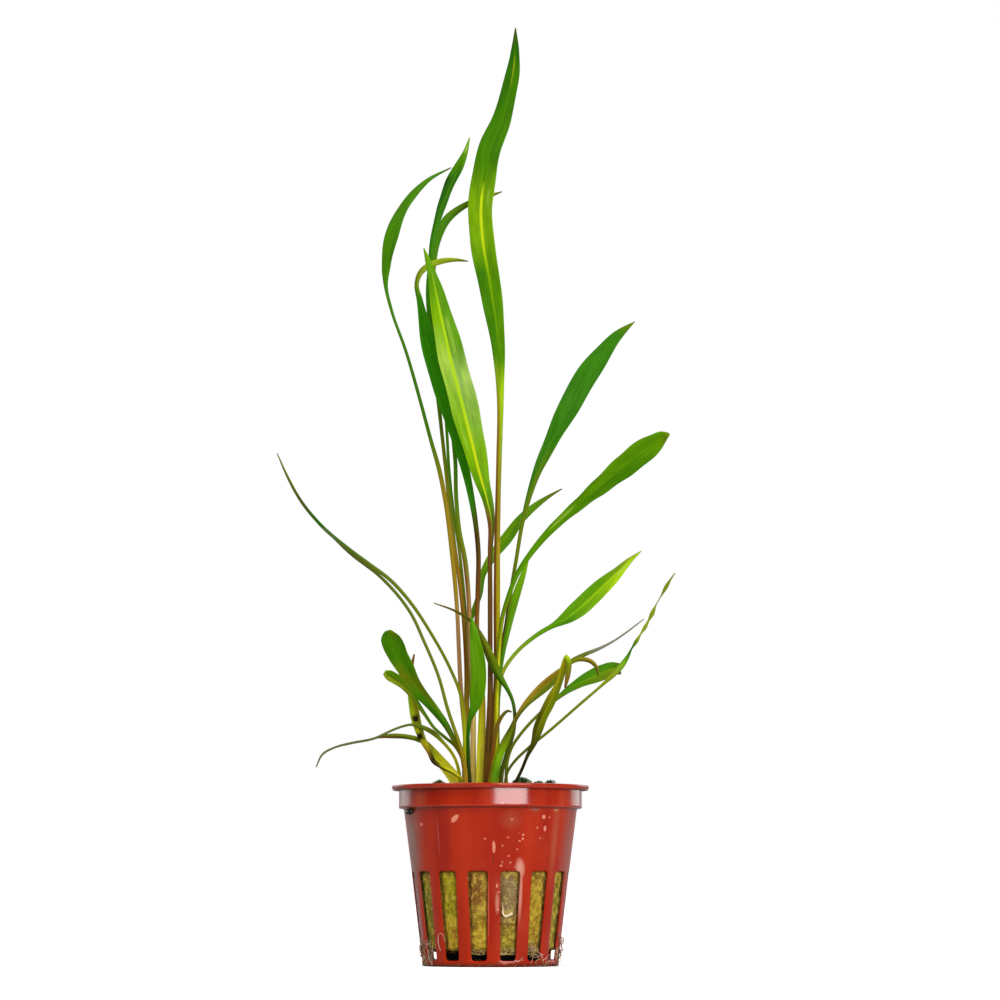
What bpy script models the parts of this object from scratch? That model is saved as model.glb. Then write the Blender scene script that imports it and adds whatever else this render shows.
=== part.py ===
"""A potted cryptocoryne: an aquarium plant with ribbon leaves, in a slotted net pot filled with rock wool.

Metres, +Z up. The origin is the centre of the pot's underside, and the plant is seen from -Y.
"""

from typing import NamedTuple

import bmesh
import bpy
import numpy as np
from mathutils import Vector

MM = 0.001

# The net pot, in millimetres: outer radii and heights, as on a standard 5 cm aquarium pot.
WALL = 0.9
RADIUS_FOOT = 19.1
RADIUS_SLOT_TOP = 22.2
RADIUS_BODY_TOP = 24.5
RADIUS_COLLAR = 25.9
RADIUS_LIP = 27.9
Z_SLOT_FOOT = 1.7
Z_SLOT_TOP = 26.3
Z_BODY_TOP = 43.9
Z_COLLAR_FOOT = 44.3
Z_LIP_FOOT = 49.8
Z_RIM = 50.5
LIP_HOOK = 1.0
LIP_WALL = 0.6
BEVEL = 0.3
FLOOR_THICKNESS = 1.2
SLOT_COUNT = 15
SLOT_FOOT_WIDTH_DEG = 12.9
SLOT_TOP_WIDTH_DEG = 14.9
SLOT_START_DEG = -9.2
RADIUS_HUB = 8.0
RADIUS_FLOOR_SLOT = 16.2

# The rock wool plug. It stands on the floor, and has a worn lower edge and a hollow on top for the rhizome.
WOOL_GAP = 0.6
RADIUS_WOOL_SOLE = 13.5
Z_WOOL_SOLE = 1.5
Z_WOOL_FOOT = 4.6
Z_WOOL_TOP = 48.4
RADIUS_HOLLOW = 14.2
HOLLOW_FLARE = 1.2
Z_HOLLOW = 44.6
WOOL_LUMP = 0.5
WOOL_EDGE = 1.0
WOOL_STATIONS = 30
WOOL_ROWS = 6
# How many waves its side has around it, in two sets, and how far each row's waves are turned on.
WOOL_WAVES = (5.0, 3.0)
WOOL_WAVE_TURN = 1.7

# The rhizome, a short thick stem that every leaf grows from.
CROWN_CENTRE = (-2.2, 0.0)
CROWN_HALF_WIDTH = 11.2
CROWN_HALF_DEPTH = 10.4
Z_CROWN_FOOT = 45.0
Z_CROWN_WIDEST = 46.4
Z_CROWN_SHOULDER = 47.9
Z_CROWN_TOP = 48.4
# Its share of the full width at each of these heights, from the foot up.
CROWN_SHARES = (0.86, 1.0, 0.96, 0.9)
CROWN_STATIONS = 24
CROWN_LUMP = 0.04
CROWN_LUMPS = 4.0
CROWN_LUMP_TURN = 0.6

# The eye that the leaf outlines are drawn from: straight in front, low and about a metre away.
EYE = np.array((2.7, -960.0, 19.2))

# A leaf is a round stalk up to the first width, and a flat blade from the second. It has six sides.
ROUND_UP_TO = 1.1
FLAT_FROM = 3.0
BLADE_THICKNESS = 0.55
LEAF_SIDES = 6
LONGEST_STEP = 14.0

ROOT_THICKNESS = 0.8

# Moss cushions and root tufts are lumps with this many points around and steps from pole to pole.
LUMP_STATIONS = 10
LUMP_STEPS = 4

# Faces that meet at less than this angle are shaded as one round surface.
SMOOTH_DEG = 40.0

# How rough each finish is: 0 is a mirror and 1 is chalk.
POT_ROUGHNESS = 0.3
WOOL_ROUGHNESS = 0.95
CROWN_ROUGHNESS = 0.8
LEAF_ROUGHNESS = 0.35
LUMP_ROUGHNESS = 0.9
ROOT_ROUGHNESS = 0.5

GREEN = (0.09, 0.28, 0.01)
DARK_GREEN = (0.04, 0.16, 0.01)
BRIGHT_GREEN = (0.20, 0.40, 0.02)
OLIVE = (0.18, 0.20, 0.02)
YELLOW_GREEN = (0.32, 0.36, 0.03)
POT_RED = (0.42, 0.035, 0.012)
WOOL_TAN = (0.30, 0.22, 0.06)
CROWN_BROWN = (0.20, 0.13, 0.05)
MOSS_GREEN = (0.05, 0.12, 0.02)
ROOT_CREAM = (0.70, 0.60, 0.42)


class Leaf(NamedTuple):
    """A leaf with its stalk, from foot to tip.

    Each stop is one point on it in millimetres: how far across and how far up the eye sees it in the plane
    of the pot's axis, how far behind that plane it is, and how wide it looks there. The turn is how far the
    blade faces away from the eye, in degrees.
    """

    name: str
    colour: tuple
    turn: float
    stops: tuple


class Lump(NamedTuple):
    """A rounded lump, in millimetres and degrees. Its bearing is 0 towards the eye and grows to the right."""

    bearing: float
    radius: float
    height: float
    half_thick: float
    half_wide: float
    half_tall: float


# Moss cushions on top of the wool, and tufts of fine roots that have grown out of the slots near the foot.
MOSS = {
    "moss_right": Lump(145.0, 15.9, 51.1, 2.4, 3.7, 2.3),
    "moss_far_right": Lump(110.0, 18.0, 50.5, 1.7, 1.7, 1.8),
    "moss_left": Lump(-119.0, 16.8, 50.5, 2.0, 2.6, 1.8),
}
ROOT_TUFTS = {
    "root_tuft_left": Lump(-74.0, 20.8, 4.9, 0.6, 3.6, 4.3),
    "root_tuft_front_right": Lump(40.0, 20.6, 2.9, 0.6, 5.0, 2.2),
    "root_tuft_right": Lump(80.0, 21.0, 6.6, 0.6, 1.6, 3.0),
}
# The middle of the pale root, as it lies in its slot.
ROOT_KNOTS = ((3.3, -20.2, 16.9), (3.5, -20.1, 16.0), (3.4, -20.1, 15.1), (3.7, -20.0, 14.3),
              (4.3, -19.9, 13.9), (5.1, -19.7, 14.1), (5.9, -19.5, 14.6))

LEAVES = (
    Leaf("leaf_tall", GREEN, 22.0, (
        (-0.1, 49.2, 0.8, 1.9), (0.9, 63.7, 0.8, 1.8), (1.7, 79.2, 0.8, 1.8), (1.8, 103.2, 1.0, 1.9),
        (1.9, 120.2, 1.4, 1.7), (2.4, 143.2, 2.0, 1.6), (2.8, 160.7, 3.0, 2.0), (2.5, 172.2, 4.0, 3.2),
        (1.7, 181.2, 5.0, 4.7), (-0.5, 195.7, 6.5, 6.5), (-2.5, 207.7, 7.5, 7.0),
        (-3.0, 216.7, 8.0, 7.1), (-2.1, 225.2, 8.0, 7.2), (-0.3, 234.2, 8.0, 6.8),
        (3.2, 243.2, 7.0, 5.8), (5.4, 251.7, 6.0, 4.6), (6.5, 257.7, 5.0, 3.9), (7.1, 263.7, 4.0, 2.4),
        (7.2, 270.2, 3.0, 0.3),
    )),
    Leaf("leaf_broad_front", BRIGHT_GREEN, -24.0, (
        (-1.2, 49.2, -3.4, 2.2), (-0.6, 63.2, -3.8, 1.9), (-0.1, 75.2, -4.2, 1.6),
        (-0.1, 91.2, -4.6, 1.4), (-0.1, 103.2, -5.2, 1.4), (-0.1, 117.2, -6.4, 1.4),
        (0.2, 125.2, -7.4, 2.0), (-0.9, 132.2, -8.6, 3.3), (-2.4, 137.7, -9.8, 4.4),
        (-5.1, 149.2, -12.0, 6.9), (-7.9, 160.7, -14.0, 7.9), (-10.9, 172.2, -15.5, 7.7),
        (-13.7, 184.2, -16.5, 6.2), (-16.4, 195.7, -17.0, 3.0), (-18.0, 201.2, -17.0, 1.7),
        (-19.3, 205.2, -17.0, 0.3),
    )),
    Leaf("leaf_left_arching", GREEN, 30.0, (
        (-6.7, 49.2, 0.0, 1.7), (-7.2, 64.7, 0.0, 1.4), (-8.4, 77.7, 0.0, 1.3), (-9.0, 89.2, 0.0, 1.2),
        (-9.5, 100.2, 0.0, 1.2), (-11.1, 117.7, 0.0, 1.3), (-12.9, 131.7, -0.4, 1.3),
        (-14.7, 140.7, -1.0, 1.3), (-17.1, 149.2, -2.0, 1.1), (-20.2, 160.7, -4.0, 1.0),
        (-24.4, 175.2, -7.0, 0.9), (-28.6, 187.2, -9.5, 0.9), (-30.2, 194.2, -11.0, 1.2),
        (-30.0, 201.1, -12.0, 3.0), (-28.7, 208.0, -12.5, 3.9), (-27.1, 213.3, -12.5, 3.5),
        (-23.2, 219.8, -12.0, 2.5), (-17.8, 225.3, -11.0, 1.2), (-11.4, 228.8, -10.0, 0.3),
    )),
    Leaf("leaf_bent_tip", DARK_GREEN, -18.0, (
        (-3.0, 49.2, -1.0, 2.5), (-2.6, 63.2, -1.0, 2.3), (-2.4, 74.7, -1.0, 1.9),
        (-3.0, 83.2, -1.0, 1.6), (-3.9, 95.2, -1.0, 1.4), (-3.6, 106.2, -1.0, 1.4),
        (-3.5, 117.2, -1.4, 1.4), (-4.4, 126.2, -2.0, 1.5), (-5.4, 132.2, -2.5, 1.8),
        (-7.9, 143.5, -4.0, 2.7), (-11.9, 155.2, -6.0, 2.8), (-15.4, 166.7, -7.0, 3.8),
        (-18.1, 178.2, -7.5, 4.1), (-20.4, 189.9, -7.5, 1.8), (-21.3, 194.7, -7.2, 1.3),
        (-20.3, 197.8, -7.0, 1.6), (-18.0, 199.9, -6.6, 1.8), (-14.6, 201.2, -6.0, 1.7),
        (-10.3, 201.7, -5.0, 1.1), (-6.5, 201.3, -4.0, 0.3),
    )),
    Leaf("leaf_upper_left", GREEN, 34.0, (
        (-6.3, 49.2, 3.6, 1.6), (-6.7, 72.2, 3.6, 1.4), (-6.9, 85.2, 3.6, 1.3), (-7.6, 97.2, 3.5, 1.2),
        (-8.9, 109.2, 3.2, 1.2), (-10.3, 118.7, 3.0, 1.2), (-11.4, 128.2, 2.8, 1.2),
        (-13.1, 143.5, 3.2, 1.1), (-14.4, 155.2, 3.8, 1.1), (-16.2, 175.2, 4.6, 2.2),
        (-17.2, 190.2, 5.0, 3.0), (-17.2, 201.2, 5.2, 1.7), (-16.8, 207.2, 5.4, 1.5),
        (-15.4, 213.2, 5.6, 1.9), (-13.6, 219.2, 5.8, 2.8), (-11.6, 224.4, 6.0, 3.3),
        (-9.5, 228.4, 6.0, 2.9), (-7.2, 233.7, 5.5, 1.4), (-6.1, 237.7, 5.0, 0.3),
    )),
    Leaf("leaf_thin_behind", GREEN, -28.0, (
        (-4.6, 49.2, 6.0, 1.3), (-5.2, 69.2, 6.2, 1.0), (-6.6, 91.2, 6.4, 0.9), (-7.4, 103.2, 6.6, 0.9),
        (-8.9, 117.2, 7.0, 0.9), (-10.6, 128.7, 7.6, 0.9), (-11.9, 140.7, 8.4, 0.9),
        (-12.5, 151.2, 9.2, 0.9), (-14.9, 178.2, 12.0, 1.5), (-16.6, 199.2, 14.0, 1.6),
        (-15.5, 207.2, 15.0, 2.2), (-12.9, 213.2, 15.6, 2.4), (-7.7, 217.5, 16.4, 1.8),
        (-3.0, 219.6, 17.0, 1.4), (1.0, 220.9, 17.4, 0.9), (3.3, 221.7, 17.6, 0.3),
    )),
    Leaf("leaf_hidden_middle", GREEN, 20.0, (
        (-4.9, 49.2, 1.4, 1.8), (-4.9, 63.2, 1.4, 1.6), (-4.9, 75.2, 1.3, 1.4), (-5.8, 91.8, 1.0, 1.3),
        (-6.2, 103.2, 0.9, 1.3), (-7.3, 114.7, 0.9, 1.4), (-8.9, 123.2, 0.8, 1.2),
        (-9.8, 132.2, 0.6, 1.2), (-10.1, 143.2, 0.2, 1.2), (-10.8, 152.2, 0.0, 1.6),
        (-11.8, 162.7, 0.0, 3.2), (-13.0, 175.2, 0.0, 4.2), (-14.0, 183.7, 0.0, 3.0),
        (-14.8, 189.7, 0.0, 0.3),
    )),
    Leaf("leaf_right_upright", GREEN, 26.0, (
        (1.5, 49.2, 3.4, 1.6), (1.4, 61.7, 3.4, 1.4), (1.7, 72.2, 3.4, 1.2), (2.3, 80.7, 3.4, 1.1),
        (3.2, 89.2, 3.5, 1.1), (4.4, 96.2, 3.6, 1.1), (5.8, 105.7, 3.8, 1.1), (7.3, 114.7, 4.2, 1.1),
        (9.6, 127.7, 5.5, 1.3), (13.0, 139.2, 7.5, 2.4), (17.5, 149.2, 10.0, 4.3),
        (20.6, 155.2, 11.5, 5.6), (25.7, 164.8, 15.0, 6.8), (32.3, 174.7, 20.0, 5.2),
        (36.8, 179.9, 23.0, 2.9), (41.4, 183.6, 26.0, 0.3),
    )),
    Leaf("leaf_right_blunt", GREEN, -24.0, (
        (1.5, 49.2, -3.8, 1.6), (1.5, 63.2, -3.8, 1.4), (1.7, 75.2, -3.8, 1.2), (2.0, 83.2, -3.8, 1.2),
        (2.6, 91.8, -4.0, 1.2), (3.5, 98.9, -4.4, 1.2), (5.3, 104.9, -5.0, 1.3), (7.9, 111.2, -6.0, 1.4),
        (11.3, 116.4, -7.5, 1.6), (17.2, 123.4, -10.5, 2.2), (24.4, 130.0, -14.5, 3.1),
        (31.6, 136.1, -18.5, 4.7), (38.6, 141.9, -22.0, 6.2), (42.9, 145.4, -24.0, 6.5),
        (47.0, 148.5, -25.5, 5.2), (49.6, 150.4, -26.5, 3.0), (51.2, 151.0, -27.0, 0.8),
    )),
    Leaf("leaf_leaning_behind", BRIGHT_GREEN, -30.0, (
        (-7.6, 49.2, 7.0, 1.2), (-7.1, 75.2, 7.6, 0.9), (-6.8, 87.2, 8.2, 0.9), (-6.2, 94.2, 8.6, 1.0),
        (-5.0, 99.7, 9.0, 1.4), (-3.2, 104.7, 9.4, 1.7), (-2.2, 110.7, 9.8, 1.9),
        (0.2, 115.2, 10.4, 2.6), (4.8, 121.2, 11.4, 3.1), (8.4, 126.2, 12.4, 2.6),
        (12.7, 130.2, 13.4, 1.9), (17.0, 133.2, 14.4, 1.0), (20.4, 135.2, 15.0, 0.3),
    )),
    Leaf("leaf_front_centre", BRIGHT_GREEN, 14.0, (
        (-5.7, 49.2, -4.6, 1.3), (-6.2, 56.2, -5.2, 1.1), (-6.4, 61.2, -6.2, 1.0),
        (-6.3, 65.7, -7.4, 1.1), (-5.9, 69.2, -8.4, 1.4), (-4.8, 72.1, -9.4, 2.4),
        (-3.9, 75.2, -10.4, 3.7), (-3.5, 79.2, -11.4, 4.3), (-3.6, 86.2, -12.4, 4.2),
        (-4.4, 91.8, -12.8, 2.9), (-5.1, 96.2, -13.0, 1.6), (-5.5, 98.6, -13.0, 0.3),
    )),
    Leaf("leaf_small_lance", GREEN, 18.0, (
        (2.6, 49.2, -1.6, 1.1), (2.0, 63.2, -1.6, 0.9), (2.3, 74.7, -1.6, 0.9), (2.8, 82.7, -1.6, 1.0),
        (3.5, 87.7, -1.7, 1.2), (5.3, 96.2, -1.9, 1.7), (7.6, 105.5, -2.2, 2.2), (9.2, 110.2, -2.5, 1.6),
        (11.0, 115.8, -2.8, 0.3),
    )),
    Leaf("leaf_drooping", DARK_GREEN, 20.0, (
        (2.9, 49.2, -5.8, 1.2), (3.4, 55.2, -6.0, 1.2), (5.2, 61.2, -6.0, 1.2), (6.5, 65.7, -6.0, 1.1),
        (6.9, 70.2, -6.2, 1.0), (6.2, 74.8, -6.8, 1.0), (4.5, 78.4, -7.6, 1.3), (2.7, 81.2, -8.2, 2.0),
        (1.0, 84.5, -8.8, 2.6), (-1.0, 89.2, -9.2, 2.3), (-3.0, 93.4, -9.4, 1.6),
        (-5.3, 97.0, -9.6, 1.0), (-9.8, 100.0, -10.4, 0.7), (-16.1, 102.4, -12.0, 0.3),
    )),
    Leaf("leaf_olive_arching", OLIVE, -16.0, (
        (0.6, 49.2, -7.6, 2.0), (1.4, 54.2, -7.8, 2.1), (2.6, 59.0, -8.0, 2.2), (4.2, 63.0, -8.2, 2.2),
        (5.8, 66.4, -8.4, 1.5), (7.5, 70.0, -8.6, 1.2), (9.8, 73.3, -8.6, 1.7), (13.5, 77.0, -8.4, 2.7),
        (16.1, 79.3, -8.0, 3.0), (18.9, 81.9, -7.4, 2.4), (21.2, 84.1, -7.0, 1.4),
        (23.4, 85.8, -7.0, 1.2), (25.7, 86.4, -7.4, 1.3), (28.3, 85.9, -8.0, 1.3),
        (30.1, 84.2, -8.6, 1.0), (30.6, 81.6, -9.0, 0.4),
    )),
    Leaf("leaf_folded_top", OLIVE, 18.0, (
        (5.9, 49.2, -5.0, 1.0), (8.8, 54.9, -6.5, 0.9), (10.4, 58.8, -8.0, 1.0), (12.4, 62.9, -9.5, 1.8),
        (13.4, 66.3, -10.6, 2.8), (14.7, 69.8, -11.5, 2.8), (17.0, 74.4, -13.0, 3.0),
        (19.5, 79.8, -14.5, 1.9), (20.8, 84.2, -15.3, 1.8), (21.6, 87.1, -16.4, 1.2),
        (22.3, 85.5, -17.8, 1.4), (22.0, 82.2, -18.4, 1.5), (21.2, 78.2, -18.6, 0.6),
    )),
    Leaf("leaf_green_low_right", GREEN, 28.0, (
        (4.6, 49.2, 3.4, 1.0), (4.6, 56.2, 3.8, 0.9), (5.9, 61.1, 4.4, 0.9), (8.3, 64.8, 5.0, 0.9),
        (11.2, 68.2, 6.0, 0.9), (16.8, 73.5, 7.5, 1.0), (19.7, 75.9, 8.2, 1.3), (21.9, 77.6, 8.8, 1.9),
        (25.4, 79.7, 9.6, 3.1), (28.8, 81.3, 10.4, 4.1), (32.2, 82.8, 11.2, 4.5),
        (34.8, 83.8, 11.8, 4.0), (37.1, 83.6, 12.2, 3.4),
    )),
    Leaf("leaf_dry_grey_tip", OLIVE, 10.0, (
        (0.8, 49.2, 8.6, 1.0), (1.4, 54.2, 8.6, 0.8), (2.6, 59.0, 8.6, 0.8), (4.2, 63.0, 8.8, 0.8),
        (7.5, 70.0, 9.2, 0.8), (13.5, 77.0, 10.2, 1.0), (18.9, 82.1, 11.4, 1.2), (23.4, 86.1, 12.4, 1.3),
        (26.9, 87.8, 13.2, 1.2), (31.1, 89.5, 14.0, 0.9), (35.4, 91.8, 15.0, 0.6),
        (39.7, 94.8, 16.0, 0.5), (43.6, 97.8, 17.0, 0.3),
    )),
    Leaf("leaf_twisted", DARK_GREEN, 12.0, (
        (4.0, 49.2, -3.0, 1.0), (4.9, 54.6, -3.2, 0.8), (7.1, 57.7, -3.5, 0.8), (10.2, 60.7, -4.0, 0.8),
        (16.9, 66.2, -6.0, 0.8), (25.4, 73.6, -9.0, 0.8), (32.0, 79.3, -12.0, 0.9),
        (35.4, 82.4, -13.5, 1.4), (37.6, 85.0, -14.5, 1.6), (39.1, 87.3, -15.0, 1.0),
        (40.2, 89.5, -15.6, 0.5), (41.5, 91.5, -16.0, 1.1), (42.7, 93.5, -16.4, 0.5),
        (44.0, 95.5, -16.8, 1.1), (45.0, 97.4, -17.2, 0.6), (46.0, 99.3, -17.6, 1.3),
        (47.1, 101.8, -18.2, 0.4), (48.6, 104.4, -18.8, 0.4), (50.1, 107.1, -19.4, 1.1),
        (51.4, 109.3, -19.8, 0.5), (52.6, 111.0, -20.0, 0.3),
    )),
    Leaf("leaf_bright_right", BRIGHT_GREEN, 24.0, (
        (3.0, 49.2, 6.0, 1.3), (2.2, 59.2, 6.0, 1.1), (2.1, 69.2, 6.2, 1.1), (2.5, 77.7, 6.4, 1.1),
        (3.5, 82.7, 6.7, 1.1), (5.6, 86.2, 7.2, 1.1), (8.4, 89.4, 8.0, 1.1), (11.3, 91.9, 9.0, 1.2),
        (14.1, 93.9, 10.5, 1.3), (18.0, 96.1, 13.0, 1.7), (21.3, 97.9, 15.0, 3.5),
        (24.4, 100.3, 17.0, 5.0), (27.9, 103.4, 19.5, 5.5), (32.2, 107.5, 22.0, 4.7),
        (36.5, 111.5, 24.5, 3.2), (39.9, 114.8, 26.5, 1.6), (43.0, 117.3, 28.0, 0.3),
    )),
    Leaf("leaf_spoon_left", DARK_GREEN, 22.0, (
        (-7.0, 49.2, -6.6, 1.4), (-7.4, 55.2, -6.8, 1.3), (-8.4, 59.7, -7.0, 1.2),
        (-10.3, 63.4, -7.2, 1.4), (-12.9, 68.1, -7.6, 1.9), (-16.3, 72.5, -8.8, 2.6),
        (-19.7, 76.5, -10.4, 3.5), (-22.3, 80.2, -12.0, 4.0), (-24.1, 83.6, -13.6, 4.7),
        (-26.3, 87.3, -15.2, 5.5), (-27.8, 90.8, -16.6, 6.0), (-28.8, 93.2, -17.6, 4.6),
        (-29.2, 94.5, -18.0, 2.0),
    )),
    Leaf("leaf_small_folded", GREEN, -14.0, (
        (-7.2, 49.2, -4.6, 1.1), (-7.4, 54.7, -4.6, 1.0), (-8.2, 58.5, -4.4, 0.9),
        (-10.1, 61.8, -4.2, 0.9), (-12.9, 64.2, -4.0, 0.9), (-16.0, 66.9, -4.0, 0.9),
        (-18.3, 70.2, -4.2, 1.0), (-20.5, 73.4, -4.6, 1.4), (-22.9, 77.1, -5.0, 2.1),
        (-25.1, 79.6, -5.4, 2.8), (-27.5, 81.1, -5.8, 3.0), (-29.1, 82.0, -6.0, 2.8),
        (-30.2, 82.6, -6.2, 1.4),
    )),
    Leaf("leaf_decaying", YELLOW_GREEN, 16.0, (
        (-7.2, 49.2, -3.4, 1.0), (-7.8, 51.9, -3.4, 1.0), (-10.6, 54.2, -3.0, 1.0),
        (-14.0, 55.9, -2.6, 1.1), (-16.1, 57.4, -2.2, 1.3), (-17.3, 60.0, -1.6, 1.4),
        (-19.0, 63.1, -1.0, 1.9), (-20.8, 68.0, -0.6, 2.6), (-21.7, 71.9, -0.6, 2.7),
        (-22.3, 76.2, -0.6, 2.4), (-22.6, 80.5, -0.8, 1.8), (-22.3, 84.7, -1.0, 1.0),
        (-21.7, 87.8, -1.0, 0.5),
    )),
    Leaf("leaf_low_left", YELLOW_GREEN, -20.0, (
        (-8.9, 49.2, 2.0, 4.0), (-10.0, 52.3, 2.0, 3.8), (-12.0, 55.0, 2.0, 3.2),
        (-14.3, 57.7, 1.8, 2.7), (-16.3, 60.4, 1.6, 1.9), (-18.0, 62.3, 1.4, 1.5),
        (-21.1, 63.8, 1.0, 1.4), (-24.8, 64.5, 1.0, 1.4), (-27.9, 64.6, 1.0, 1.4),
        (-30.5, 64.4, 0.8, 0.9), (-32.6, 64.0, 0.8, 0.4),
    )),
    Leaf("leaf_curled_tail", OLIVE, 12.0, (
        (-9.0, 49.2, 0.0, 1.2), (-8.9, 54.2, 0.0, 1.0), (-10.3, 58.7, -0.2, 0.9),
        (-13.4, 62.8, -0.8, 1.0), (-16.3, 65.5, -1.4, 1.4), (-19.4, 67.1, -2.6, 1.2),
        (-22.2, 67.8, -3.8, 0.8), (-25.6, 67.1, -5.4, 0.7), (-29.0, 65.7, -7.0, 0.7),
        (-32.4, 64.1, -8.6, 0.7), (-39.8, 62.5, -12.0, 0.7), (-44.0, 61.4, -14.0, 0.6),
        (-47.7, 59.3, -15.6, 0.6), (-49.4, 55.8, -16.4, 0.3),
    )),
    Leaf("leaf_long_left_upper", OLIVE, 20.0, (
        (-7.2, 49.2, -2.4, 1.2), (-7.3, 63.2, -2.4, 1.0), (-7.6, 70.7, -2.4, 0.9),
        (-8.8, 77.2, -2.2, 0.9), (-11.5, 83.8, -1.4, 0.9), (-17.2, 94.2, 1.0, 0.9),
        (-22.9, 102.7, 5.0, 1.0), (-28.7, 109.1, 9.0, 1.1), (-34.4, 113.4, 13.0, 1.1),
        (-40.1, 117.6, 17.0, 1.1), (-48.7, 125.0, 23.0, 1.0), (-54.4, 132.0, 27.0, 0.9),
        (-58.5, 139.5, 30.0, 0.7), (-61.1, 145.4, 32.0, 0.3),
    )),
    Leaf("leaf_long_left_lower", OLIVE, -16.0, (
        (-6.9, 49.2, -8.6, 1.4), (-7.3, 56.2, -8.8, 1.2), (-8.6, 61.7, -9.2, 1.1),
        (-10.4, 67.0, -9.6, 1.0), (-11.9, 71.4, -10.0, 1.0), (-14.9, 81.9, -11.0, 0.9),
        (-18.8, 91.2, -12.0, 0.9), (-22.9, 99.8, -13.0, 0.9), (-25.9, 104.0, -13.6, 0.9),
        (-31.5, 110.0, -14.6, 0.9), (-40.0, 116.6, -16.0, 0.8), (-48.1, 124.2, -17.0, 0.3),
    )),
    Leaf("leaf_curled_sprout", OLIVE, 0.0, (
        (-1.6, 49.2, -6.6, 1.0), (-0.7, 55.2, -8.4, 1.0), (0.7, 60.6, -10.4, 1.0),
        (1.3, 64.3, -11.0, 1.1), (2.1, 68.0, -11.2, 1.2), (3.5, 70.5, -11.2, 1.0),
        (4.9, 71.7, -11.0, 0.8), (6.0, 71.4, -10.8, 0.4),
    )),
)


def make_material(name, colour, roughness):
    """A plain finish for one sub-part."""
    material = bpy.data.materials.new(name)
    material.use_nodes = True
    shader = material.node_tree.nodes["Principled BSDF"]
    shader.inputs["Base Color"].default_value = (*colour, 1.0)
    shader.inputs["Roughness"].default_value = roughness
    shader.inputs["Metallic"].default_value = 0.0
    return material


def make_object(name, points_mm, faces, colour, roughness):
    """One named object from points in millimetres, with its normals facing out."""
    mesh = bpy.data.meshes.new(name)
    mesh.from_pydata([Vector(point) * MM for point in points_mm], [], faces)
    shape = bmesh.new()
    shape.from_mesh(mesh)
    bmesh.ops.recalc_face_normals(shape, faces=shape.faces)
    shape.to_mesh(mesh)
    shape.free()
    mesh.shade_smooth()
    mesh.set_sharp_from_angle(angle=np.radians(SMOOTH_DEG))
    mesh.materials.append(make_material(name, colour, roughness))
    thing = bpy.data.objects.new(name, mesh)
    bpy.context.scene.collection.objects.link(thing)
    return thing


def ring_of(radius, height, angles):
    """Points of a level ring round the pot's axis. Angle 0 faces the eye and grows to the right."""
    reaches = np.broadcast_to(radius, len(angles))
    return [(reach * np.sin(a), -reach * np.cos(a), height) for reach, a in zip(reaches, angles)]


def make_rounded(name, foot, rows, top, colour, roughness):
    """An object whose rows of points, all equally long, run from one pole to the other."""
    around = len(rows[0])
    points = [foot, *(point for row in rows for point in row), top]
    last = 1 + (len(rows) - 1) * around
    faces = []
    for station in range(around):
        after = (station + 1) % around
        faces.append((0, 1 + after, 1 + station))
        for low in range(1, last, around):
            high = low + around
            faces.append((low + station, low + after, high + after, high + station))
        faces.append((last + station, last + after, len(points) - 1))
    return make_object(name, points, faces, colour, roughness)


def outer_radius(height):
    """The pot's outer radius below its collar, in millimetres."""
    heights = (0.0, Z_SLOT_TOP, Z_BODY_TOP)
    return np.interp(height, heights, (RADIUS_FOOT, RADIUS_SLOT_TOP, RADIUS_BODY_TOP))


def slot_angles(width):
    """The bearings of each slot's first side, middle and last side, and of the middle of the bar after it."""
    pitch = 360.0 / SLOT_COUNT
    middles = SLOT_START_DEG + pitch * np.arange(SLOT_COUNT)
    offsets = np.array((-width / 2.0, 0.0, width / 2.0, pitch / 2.0))
    return np.radians((middles[:, None] + offsets).ravel())


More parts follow.
